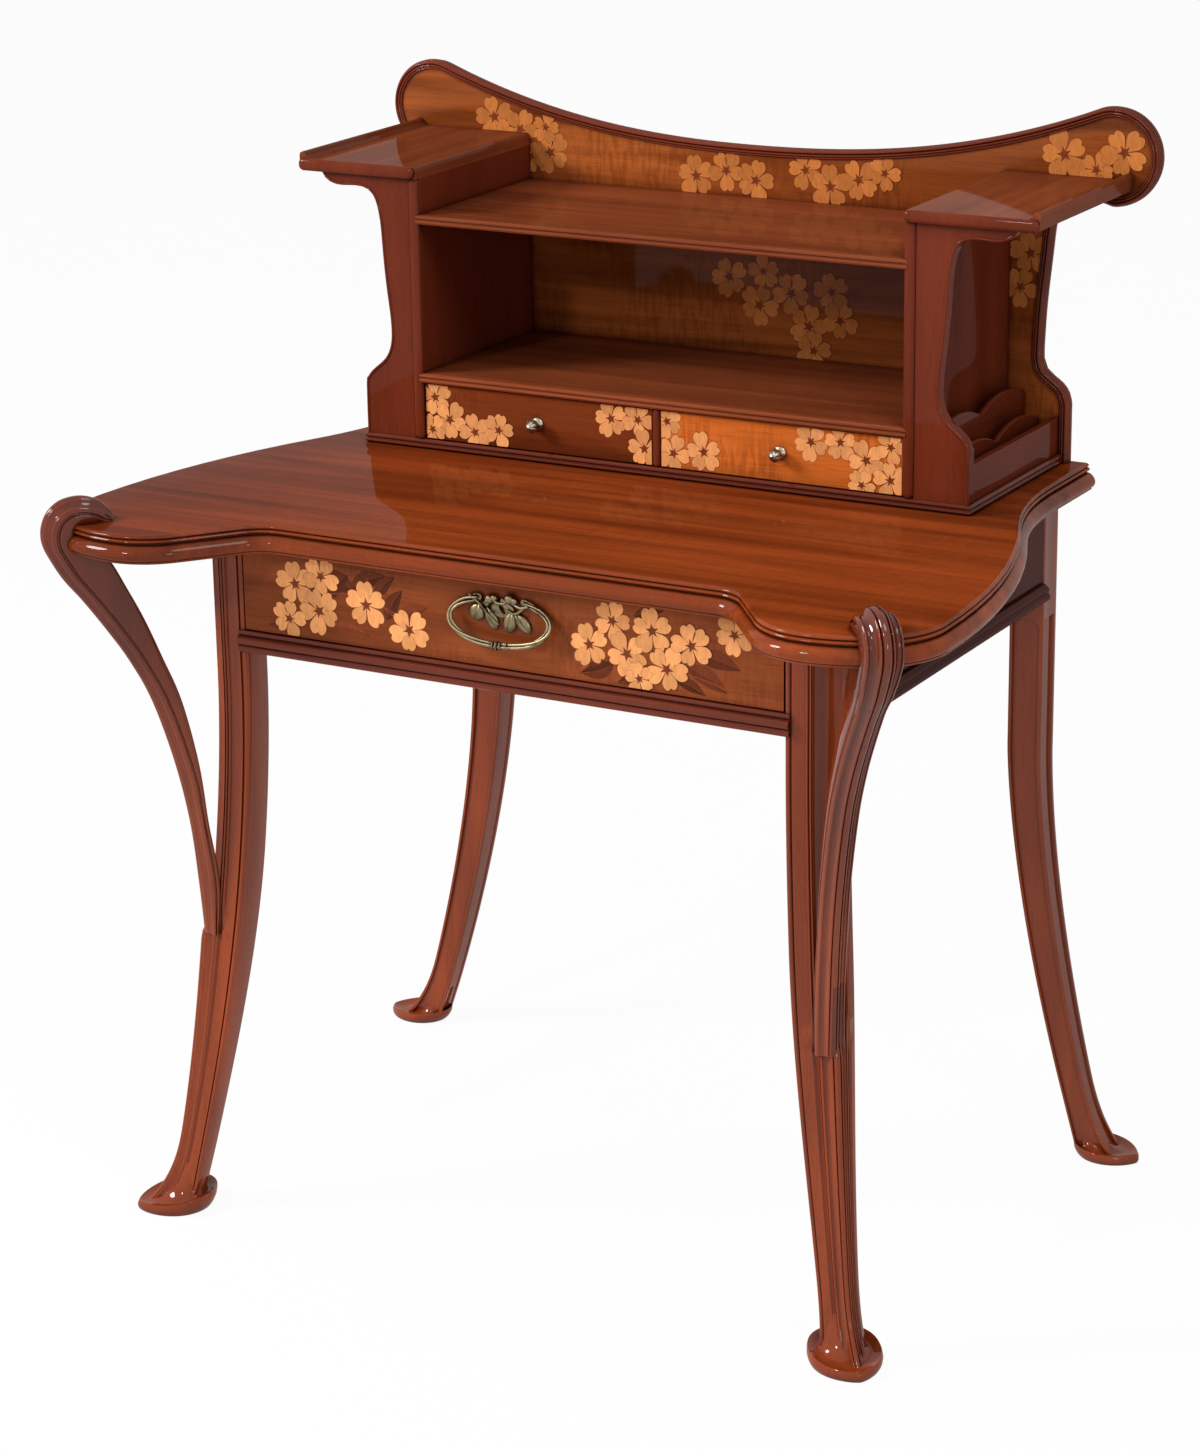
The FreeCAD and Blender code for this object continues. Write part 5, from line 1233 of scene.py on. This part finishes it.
class DESK_OT_mouldings(bpy.types.Operator):
    """Runs the back panel's border, the rail below the drawer and the beads of the upper case"""

    bl_idname = "desk.mouldings"
    bl_label = "Mouldings"

    def execute(self, context):
        self.border(context.scene.desk_sizes.border_width)
        self.rail()
        self.front_boards()
        self.rounds()
        return {"FINISHED"}

    def border(self, width):
        """Beads on the back panel's edge and face, from one lower corner over the top to the other."""
        low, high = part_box("back_panel")
        loop = face_outline("back_panel", 1, high.y)
        path = [loop[0]] + refined(loop[1:-1], 2) + [loop[-1]]
        thick = high.y - low.y
        profile = [(EDGE_SINK * MM, 0.0)]
        shares = [step / 6.0 for step in range(7)]
        for start, end in EDGE_BEADS:
            for share in shares:
                swell = math.sin(math.pi * share) ** BEAD_ROUND
                profile.append(((EDGE_SINK - EDGE_RISE * swell) * MM, thick * lerp(start, end, share)))
        for start, end, rise in FACE_BEADS:
            for share in shares:
                swell = rise * MM * math.sin(math.pi * share) ** BEAD_ROUND
                profile.append((width * lerp(start, end, share), thick + swell))
        inside_panel = [(width + 0.2 * MM, thick - 2.2 * MM), (width * 0.6, thick * 0.4)]
        profile += inside_panel
        solid = Solid()
        moulding(solid, path, profile, self.turn_of(loop))
        piece("panel_border", solid, "desk", FINISHES["frame_x"], 40.0)

    def turn_of(self, loop):
        """One where a loop runs so that its inside is on the left, else minus one."""
        area = sum(a.x * b.z - b.x * a.z for a, b in zip(loop, loop[1:] + loop[:1]))
        return 1.0 if area > 0 else -1.0

    def rail(self):
        """Rail below the drawer: an ovolo, a bead and a fillet over a deep quirk, lapped over the legs."""
        low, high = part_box("front_rail")
        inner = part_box("front_leg_right")[0].x
        face = low.y + RAIL_REACH * MM
        (out, up), (half_out, half_up) = RAIL_BEAD
        angles = [math.radians(lerp(-80.0, 80.0, step / 10.0)) for step in range(11)]
        bead = [(out + half_out * math.cos(angle), up + half_up * math.sin(angle)) for angle in angles]
        profile = [*RAIL_OVOLO, *bead, *RAIL_FILLET]
        solid = Solid()
        lap = inner + RAIL_LAP * MM
        solid.loft([[Vector((x, face - y * MM, low.z + z * MM)) for y, z in profile] for x in (-lap, lap)])
        corners = ((face, low.z), (high.y, low.z), (high.y, high.z), (face, high.z))
        solid.loft([[Vector((x, y, z)) for y, z in corners] for x in (-inner, inner)])
        piece("moulded_rail", solid, "desk", finish_of("front_rail"), 40.0, ["front_rail"])

    def front_boards(self):
        """Bead along the shaped edge of each front board."""
        low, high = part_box("front_board_right")
        loop = face_outline("front_board_right", 1, low.y)
        path = [point for point in loop if point.x > low.x + 2.0 * MM and point.z < high.z - 0.2 * MM]
        (start, end), rise = BOARD_BEAD
        sunk = -1.0 * MM
        profile = [(0.0, sunk)]
        for step in range(9):
            angle = math.pi * step / 8.0
            profile.append((lerp(start, end, step / 8.0) * MM, rise * MM * math.sin(angle)))
        profile.append((end * MM, sunk))
        solid = Solid()
        moulding(solid, refined(path, 2), profile, self.turn_of(loop))
        for side, form in both_sides(solid):
            piece("board_bead_" + side, form, "desk", FINISHES["frame_z"], 40.0)

    def rounds(self):
        """Half-round fronts of the divider, the uprights and the platforms."""
        solid = Solid()
        low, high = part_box("drawer_divider")
        start, end = Vector((0.0, low.y, low.z)), Vector((0.0, low.y, high.z))
        self.bar(solid, start, end, (high.x - low.x) / 2, DIVIDER_REACH)
        piece("divider_bead", solid, "desk", FINISHES["frame_z"], 40.0)
        low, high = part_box("side_panel_right")
        deck_low, deck_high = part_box("platform_right")
        middle = (low.x + high.x) / 2
        solid = Solid()
        start, end = Vector((middle, low.y, low.z)), Vector((middle, low.y, high.z + 1.0 * MM))
        self.bar(solid, start, end, *UPRIGHT_BEAD)
        level = (deck_low.z + high.z + PLATFORM_THICKNESS) / 2
        start = Vector((low.x + 1.0 * MM, deck_low.y + 1.5 * MM, level))
        self.bar(solid, start, Vector((deck_high.x, start.y, level)), *PLATFORM_BEAD)
        for side, form in both_sides(solid):
            piece("upright_bead_" + side, form, "desk", FINISHES["frame_z"], 40.0)

    def bar(self, solid, start, end, half_width, reach):
        """Oval bar with rounded ends."""
        ahead = (end - start).normalized()
        aside = ahead.cross(FORWARD)
        rings = []
        length = (end - start).length
        bends = [(0.0, 0.2), (0.15, 0.62), (0.4, 0.86), (0.75, 0.98), (1.0, 1.0)]
        rows = [(place * half_width, share) for place, share in bends]
        rows += [(length - place, share) for place, share in reversed(rows)]
        for place, share in rows:
            ring = []
            for step in range(20):
                angle = 2.0 * math.pi * step / 20.0
                out = aside * (half_width * math.cos(angle)) + FORWARD * (reach * math.sin(angle))
                ring.append(start + ahead * place + out * share)
            rings.append(ring)
        solid.loft(rings)


def petal_outline():
    """Notched petal of a blossom of radius one, pointing up."""
    points = []
    for radius, swing in PETAL_EDGE:
        angle = math.radians(swing)
        points.append(Vector((-radius * math.sin(angle), radius * math.cos(angle))))
    points = refined(points, 3)
    notch = Vector((0.0, PETAL_NOTCH))
    return points + [notch] + [Vector((-point.x, point.y)) for point in reversed(points)]


def clipped(points, window):
    """Polygon cut to a window of (left, right, low, high)."""
    left, right, low, high = window
    for axis, bound, sign in ((0, left, 1.0), (0, right, -1.0), (1, low, 1.0), (1, high, -1.0)):
        kept = []
        for start, end in zip(points, points[1:] + points[:1]):
            a, b = sign * (start[axis] - bound), sign * (end[axis] - bound)
            if a >= 0.0:
                kept.append(start)
            if a * b < 0.0:
                kept.append(start.lerp(end, a / (a - b)))
        points = kept
        if not points:
            break
    return points


class Inlay:
    """Flat pieces of veneer let into an upright face, in thin layers."""

    def __init__(self, face_y, window, rise):
        self.face_y = face_y
        self.window = window
        self.rise = rise
        self.light = Solid()
        self.dark = Solid()

    def lay(self, solid, points, layer, tint):
        cut = clipped(points, self.window)
        if len(cut) > 2:
            y = self.face_y - self.rise * layer
            area = sum(a.x * b.y - b.x * a.y for a, b in zip(cut, cut[1:] + cut[:1]))
            order = range(len(cut)) if area > 0 else range(len(cut) - 1, -1, -1)
            solid.add([(point.x, y, point.y) for point in cut], [list(order)], tint)

    def blossoms(self, rows):
        petal = petal_outline()
        done = []
        for x, z, size, turn in rows:
            centre = Vector((x, z)) * MM
            radius = size * MM
            under = []
            for place, reach, layer in done:
                if (place - centre).length < 0.95 * (reach + radius):
                    under.append(layer)
            layer = max(under, default=0.3) + 1.2
            done.append((centre, radius, layer))
            for leaf in range(5):
                spin = math.radians(turn + 72.0 * leaf + 5.0 * math.sin(3.1 * x + leaf))
                stretch = radius * (1.0 + 0.07 * math.sin(1.7 * z + 2.3 * leaf))
                wheel = Matrix.Rotation(spin, 2)
                tone = 0.5 + 0.5 * math.sin(0.9 * x + 1.3 * z + 2.1 * leaf)
                middle = Vector((0.0, 0.6))
                seam, veneer = (self.dark, 1.015, 0.0, 0.75), (self.light, 0.982, 0.5, tone)
                for solid, grow, rise, tint in (seam, veneer):
                    cut = [centre + wheel @ (middle + (point - middle) * grow) * stretch for point in petal]
                    self.lay(solid, cut, layer + rise, tint)
            self.star(centre, radius, math.radians(turn), layer + 1.0)

    def star(self, centre, radius, turn, layer):
        points = []
        for corner in range(10):
            angle = turn + math.pi * corner / 5.0
            reach = radius * (STAR_HOLLOW if corner % 2 else STAR_POINT)
            points.append(centre + Vector((-math.sin(angle), math.cos(angle))) * reach)
        self.lay(self.dark, points, layer, 0.6)

    def leaf(self, base, tip, half_width, tone, layer):
        base, tip = Vector(base) * MM, Vector(tip) * MM
        ahead = tip - base
        aside = Vector((-ahead.y, ahead.x)).normalized() * half_width * MM
        for side in (1.0, -1.0):
            edge = []
            for step in range(13):
                share = step / 12.0
                swell = math.sin(math.pi * share ** 0.8) ** 0.9
                bend = aside * (0.3 * math.sin(math.pi * share))
                edge.append((base + ahead * share + bend, aside * (side * swell)))
            spine = []
            for place, out in edge:
                spine.append(place + out.normalized() * MIDRIB_HALF_WIDTH if out.length else place)
            blade = spine + [place + out for place, out in reversed(edge)]
            self.lay(self.dark, blade, layer, max(tone, 0.2) + 0.1 * side)

    def twig(self, points):
        path = refined([Vector(point) * MM for point in points], 8)
        for start, end in zip(path, path[1:]):
            out = Vector((start.y - end.y, end.x - start.x)).normalized() * TWIG_HALF_WIDTH
            self.lay(self.dark, [start + out, start - out, end - out, end + out], 1.2, 1.0)

    def finish(self, name, body, slot, light):
        piece(name + "_petals", self.light, body, FINISHES[light], 30.0, (), True)
        piece(name + "_seams", self.dark, body, FINISHES["leaf"], 30.0, (), True)


class DESK_OT_inlay(bpy.types.Operator):
    """Lets the blossoms, leaves and twigs into the drawers and the back panel"""

    bl_idname = "desk.inlay"
    bl_label = "Inlay"

    def execute(self, context):
        rise = context.scene.desk_sizes.inlay_rise
        inlay = self.on("drawer_front", rise)
        for index, (base, tip, half_width, tone) in enumerate(DRAWER_LEAVES):
            inlay.leaf(base, tip, half_width, tone, 0.3 + 0.05 * index)
        for points in DRAWER_TWIGS:
            inlay.twig(points)
        inlay.blossoms(DRAWER_BLOSSOMS)
        inlay.finish("drawer_inlay", "main_drawer", "drawer_veneer", "blossom")
        for side, rows in (("left", LEFT_BLOSSOMS), ("right", RIGHT_BLOSSOMS)):
            inlay = self.on("small_drawer_front_" + side, rise)
            inlay.blossoms(rows)
            inlay.finish("small_inlay_" + side, side + "_drawer", "drawer_veneer", "blossom")
        low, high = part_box("back_panel")
        inlay = Inlay(low.y + PANEL_SHEET, (low.x, high.x, low.z, high.z), rise)
        inlay.blossoms(PANEL_BLOSSOMS)
        inlay.finish("panel_inlay", "desk", "panel_veneer", "blossom_dark")
        return {"FINISHED"}

    def on(self, node, rise):
        """Inlay on the front of a drawer, inside its margin."""
        low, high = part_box(node)
        left, right = low.x + INLAY_MARGIN, high.x - INLAY_MARGIN
        return Inlay(low.y, (left, right, low.z + INLAY_MARGIN, high.z - INLAY_MARGIN), rise)


class DESK_OT_pull(bpy.types.Operator):
    """Casts the bronze pull of the main drawer: reeded loop, leaves, stems and berries"""

    bl_idname = "desk.pull"
    bl_label = "Pull"

    def execute(self, context):
        low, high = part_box("drawer_front")
        self.middle = Vector((0.0, low.y, high.z - PULL_DROP * MM))
        self.loop()
        self.spray()
        return {"FINISHED"}

    def at(self, x, z, rise):
        """Place in millimetres from the middle of the loop, and its rise off the drawer front."""
        return self.middle + Vector((x, -rise, z)) * MM

    def loop(self):
        """Twisted strands along an open oval, with ties, a bud and a post at either end."""
        start, sweep = 180.0 - PULL_GAP, 180.0 + 2.0 * PULL_GAP
        end_height = math.sin(math.radians(PULL_GAP))
        path = []
        count = PULL_STEPS
        for step in range(count + 1):
            angle = math.radians(start + sweep * step / count)
            lean = (end_height - math.sin(angle)) / (end_height + 1.0)
            stand = lerp(PULL_BAR, PULL_STAND_OFF, smoothstep(lean))
            path.append(self.at(PULL_HALF_WIDTH * math.cos(angle), PULL_HALF_HEIGHT * math.sin(angle), stand))
        solid = Solid()
        for strand in range(PULL_STRANDS):
            line = []
            for index, place in enumerate(path):
                share = index / count
                ahead = (path[min(index + 1, count)] - path[max(index - 1, 0)]).normalized()
                out = (place - self.middle).normalized()
                out = (out - ahead * out.dot(ahead)).normalized()
                over = ahead.cross(out)
                turn = 2.0 * math.pi * strand / PULL_STRANDS + 1.3 * math.sin(3.0 * math.pi * share) + 0.6
                wide = 1.7 + 1.6 * max(1.0 - share * 9.0, 0.0) + 1.0 * max(share * 9.0 - 8.0, 0.0)
                line.append(place + (out * math.cos(turn) + over * (0.7 * math.sin(turn))) * wide * MM)
            solid.tube(line, lambda share: lerp(1.1, 1.75, math.sin(math.pi * share) ** 0.5) * MM, 10)
        for share, size in PULL_TIES:
            self.tie(solid, path[round(share * count)], path[round(share * count) + 1], size)
        bud = path[round(0.53 * count)]
        solid.ball(bud + Vector((1.5, -1.5, 2.6)) * MM, 2.2 * MM)
        for end in (path[0], path[-1]):
            solid.tube([end, Vector((end.x, self.middle.y + 0.5 * MM, end.z))], PULL_POST * MM, 14)
        piece("reeded_loop", solid, "main_drawer", FINISHES["bronze"], 40.0, ["pull_loop"])

    def tie(self, solid, place, after, size):
        """Ring of wire round the loop."""
        ahead = (after - place).normalized()
        out = ahead.orthogonal().normalized()
        over = ahead.cross(out)
        ring = []
        for step in range(25):
            angle = 2.0 * math.pi * step / 24.0
            ring.append(place + (out * math.cos(angle) + over * math.sin(angle)) * (TIE_RADIUS * size * MM))
        solid.tube(ring, 0.8 * MM, 8)

    def spray(self):
        """Leaves, stems and berries round the escutcheon."""
        solid = Solid()
        self.plate(solid)
        for base, tip, half_width, notch in PULL_LEAVES:
            self.leaf(solid, Vector(base), Vector(tip), half_width, notch)
        for index, points in enumerate(PULL_STEMS):
            line = refined([self.at(x, z, 4.2 + 0.5 * (index % 2)) for x, z in points], 6)
            solid.tube(line, lambda share: lerp(1.7, 0.9, share) * MM, 8)
        for x, z, radius in PULL_BERRIES:
            solid.ball(self.at(x, z, 4.2), radius * MM, 0.85)
        piece("leaf_spray", solid, "main_drawer", FINISHES["bronze"], 40.0, ["pull_spray"])

    def plate(self, solid):
        """Escutcheon with a slanted keyhole through it."""
        rise = PULL_HALF_HEIGHT / 2
        rings = []
        slant = Matrix.Rotation(math.radians(KEYHOLE_TURN), 2)
        for edge, height in PLATE_ROWS:
            ring = []
            for step in range(32):
                angle = 2.0 * math.pi * step / 32.0
                wide, tall = PLATE_OVAL if edge else KEYHOLE_OVAL
                place = Vector((wide * math.cos(angle), tall * math.sin(angle)))
                place = place * edge if edge else slant @ place
                ring.append(self.at(place.x, rise - 1.0 + place.y, height))
            rings.append(ring)
        solid.loft(rings, False, True)

    def leaf(self, solid, base, tip, half_width, notch):
        """Domed leaf with a sunk midrib, its edge down on the drawer front."""
        ahead = tip - base
        aside = Vector((-ahead.y, ahead.x)).normalized()
        rings = []
        for row in range(13):
            share = lerp(0.02, 0.98, row / 12.0)
            width = half_width * math.sin(math.pi * share ** 1.25) ** 0.55
            ring = []
            for step in range(13):
                across = lerp(-1.0, 1.0, step / 12.0)
                pull_back = notch * 0.5 * (1.0 - abs(across)) * max(share - 0.6, 0.0)
                place = base + ahead * (share - pull_back) + aside * (across * width)
                dome = (1.0 - across * across) ** 0.6 * math.sin(math.pi * share) ** 0.4
                rib = 1.0 * math.exp(-(across * width / 1.0) ** 2)
                ring.append(self.at(place.x, place.y, 1.0 + 3.4 * dome - rib))
            for step in (12, 0):
                across = lerp(-1.0, 1.0, step / 12.0)
                place = base + ahead * share + aside * (across * width)
                ring.append(self.at(place.x, place.y, 0.0))
            rings.append(ring)
        solid.loft(rings)


class DESK_OT_knobs(bpy.types.Operator):
    """Casts the bud-shaped knobs of the small drawers"""

    bl_idname = "desk.knobs"
    bl_label = "Knobs"

    def execute(self, context):
        for side, sign in SIDES:
            low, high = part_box("small_drawer_knob_" + side)
            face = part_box("small_drawer_front_" + side)[0].y
            centre = Vector(((low.x + high.x) / 2, face, (low.z + high.z) / 2))
            reach, length = (high.z - low.z) / 2, face - low.y
            rings = []
            for ahead, out, lobe in KNOB_ROWS:
                ring = []
                for step in range(KNOB_SIDES):
                    angle = 2.0 * math.pi * step / KNOB_SIDES
                    wave = abs(math.cos(3.0 * angle + KNOB_TWIST * ahead * sign)) ** 0.7
                    radius = reach * out * (1.0 - KNOB_LOBE * lobe * (1.0 - wave))
                    place = Vector((radius * math.cos(angle), -length * ahead, radius * math.sin(angle)))
                    ring.append(centre + place)
                rings.append(ring)
            solid = Solid()
            solid.loft(rings)
            solid.tube([centre, centre - FORWARD * (high.y - face)], SPINDLE_RADIUS, 16)
            node = "small_drawer_knob_" + side
            piece("bud_" + node, solid, side + "_drawer", FINISHES["silver"], 40.0, [node])
        return {"FINISHED"}


class DESK_OT_stage(bpy.types.Operator):
    """Sets the floor, the soft lights and the camera"""

    bl_idname = "desk.stage"
    bl_label = "Stage"

    def execute(self, context):
        self.floor()
        self.world(context.scene)
        self.lights(context.scene)
        self.camera(context.scene)
        context.scene.view_settings.view_transform = "Standard"
        return {"FINISHED"}

    def floor(self):
        """White floor that keeps the desk's shadow."""
        mesh = bpy.data.meshes.new("floor")
        signs = ((-1, -1), (1, -1), (1, 1), (-1, 1))
        mesh.from_pydata([(x * FLOOR_REACH, y * FLOOR_REACH, 0.0) for x, y in signs], [], [(0, 1, 2, 3)])
        made = bpy.data.objects.new("floor", mesh)
        bpy.context.scene.collection.objects.link(made)
        finish = Finish("floor_white")
        finish.set(Base_Color=(0.9, 0.9, 0.9, 1.0), Roughness=0.9, Specular_IOR_Level=0.0)
        glow = finish.node("ShaderNodeEmission", {"Color": (1.0, 1.0, 1.0, 1.0), "Strength": 1.0})
        share = finish.node("ShaderNodeMixShader")
        finish.feed(share.inputs[0], finish.maths("MULTIPLY", self.seen(finish.tree), FLOOR_GLOW))
        finish.feed(share.inputs[1], finish.shader.outputs[0])
        finish.feed(share.inputs[2], glow.outputs[0])
        finish.feed(finish.tree.nodes["Material Output"].inputs["Surface"], share.outputs[0])
        mesh.materials.append(finish.material)

    def seen(self, tree):
        """One where the surface is seen by the camera, in metal or through glass."""
        path = tree.nodes.new("ShaderNodeLightPath")
        value = path.outputs["Is Camera Ray"]
        for name in ("Is Glossy Ray", "Is Transmission Ray"):
            either = tree.nodes.new("ShaderNodeMath")
            either.operation = "MAXIMUM"
            tree.links.new(value, either.inputs[0])
            tree.links.new(path.outputs[name], either.inputs[1])
            value = either.outputs[0]
        return value

    def world(self, scene):
        """White surround, dimmer as a light than as it is seen."""
        world = bpy.data.worlds.new("studio")
        scene.world = world
        world.use_nodes = True
        tree = world.node_tree
        background = tree.nodes["Background"]
        background.inputs["Color"].default_value = (1.0, 1.0, 1.0, 1.0)
        level = tree.nodes.new("ShaderNodeMapRange")
        level.inputs["To Min"].default_value = WORLD_LIGHT
        level.inputs["To Max"].default_value = 1.0
        tree.links.new(self.seen(tree), level.inputs["Value"])
        tree.links.new(level.outputs["Result"], background.inputs["Strength"])

    def lights(self, scene):
        for name, place, size, power in LAMPS:
            light = bpy.data.lights.new(name, "AREA")
            light.shape = "DISK"
            light.size = size
            light.energy = power
            made = bpy.data.objects.new(name, light)
            made.location = place
            aim = LAMP_TARGET - Vector(place)
            made.rotation_mode = "QUATERNION"
            made.rotation_quaternion = aim.to_track_quat("-Z", "Y")
            scene.collection.objects.link(made)

    def camera(self, scene):
        data = bpy.data.cameras.new("camera")
        data.lens = CAMERA_LENS
        data.sensor_width = CAMERA_SENSOR
        data.clip_end = 100.0
        made = bpy.data.objects.new("camera", data)
        flat = math.cos(CAMERA_TILT)
        back = Vector((math.sin(CAMERA_TURN) * flat, -math.cos(CAMERA_TURN) * flat, math.sin(CAMERA_TILT)))
        right = Vector((math.cos(CAMERA_TURN), math.sin(CAMERA_TURN), 0.0))
        up = back.cross(right)
        rolled_right = right * math.cos(CAMERA_ROLL) + up * math.sin(CAMERA_ROLL)
        rolled_up = up * math.cos(CAMERA_ROLL) - right * math.sin(CAMERA_ROLL)
        turn = Matrix((rolled_right, rolled_up, back)).transposed()
        made.matrix_world = Matrix.Translation(CAMERA_PLACE) @ turn.to_4x4()
        scene.collection.objects.link(made)
        scene.camera = made


STEPS = (
    DESK_OT_finishes,
    DESK_OT_boards,
    DESK_OT_top,
    DESK_OT_front_legs,
    DESK_OT_back_legs,
    DESK_OT_branches,
    DESK_OT_mouldings,
    DESK_OT_inlay,
    DESK_OT_pull,
    DESK_OT_knobs,
    DESK_OT_stage,
)


class DESK_PT_pieces(bpy.types.Panel):
    """Lists the desk's settings and steps"""

    bl_idname = "DESK_PT_pieces"
    bl_label = "Writing desk"
    bl_space_type = "VIEW_3D"
    bl_region_type = "UI"
    bl_category = "Desk"

    def draw(self, context):
        for settings in (context.scene.desk_finish, context.scene.desk_sizes):
            for name in settings.__annotations__:
                self.layout.prop(settings, name)
        for step in STEPS:
            self.layout.operator(step.bl_idname)


CLASSES = (DeskFinish, DeskSizes, *STEPS, DESK_PT_pieces)


def register():
    for item in CLASSES:
        bpy.utils.register_class(item)
    bpy.types.Scene.desk_finish = PointerProperty(type=DeskFinish)
    bpy.types.Scene.desk_sizes = PointerProperty(type=DeskSizes)


def unregister():
    del bpy.types.Scene.desk_sizes
    del bpy.types.Scene.desk_finish
    for item in reversed(CLASSES):
        bpy.utils.unregister_class(item)


def main():
    register()
    bpy.ops.desk.finishes()
    bpy.ops.desk.boards()
    bpy.ops.desk.top()
    bpy.ops.desk.front_legs()
    bpy.ops.desk.back_legs()
    bpy.ops.desk.branches()
    bpy.ops.desk.mouldings()
    bpy.ops.desk.inlay()
    bpy.ops.desk.pull()
    bpy.ops.desk.knobs()
    bpy.ops.desk.stage()


if __name__ == "__main__":
    main()
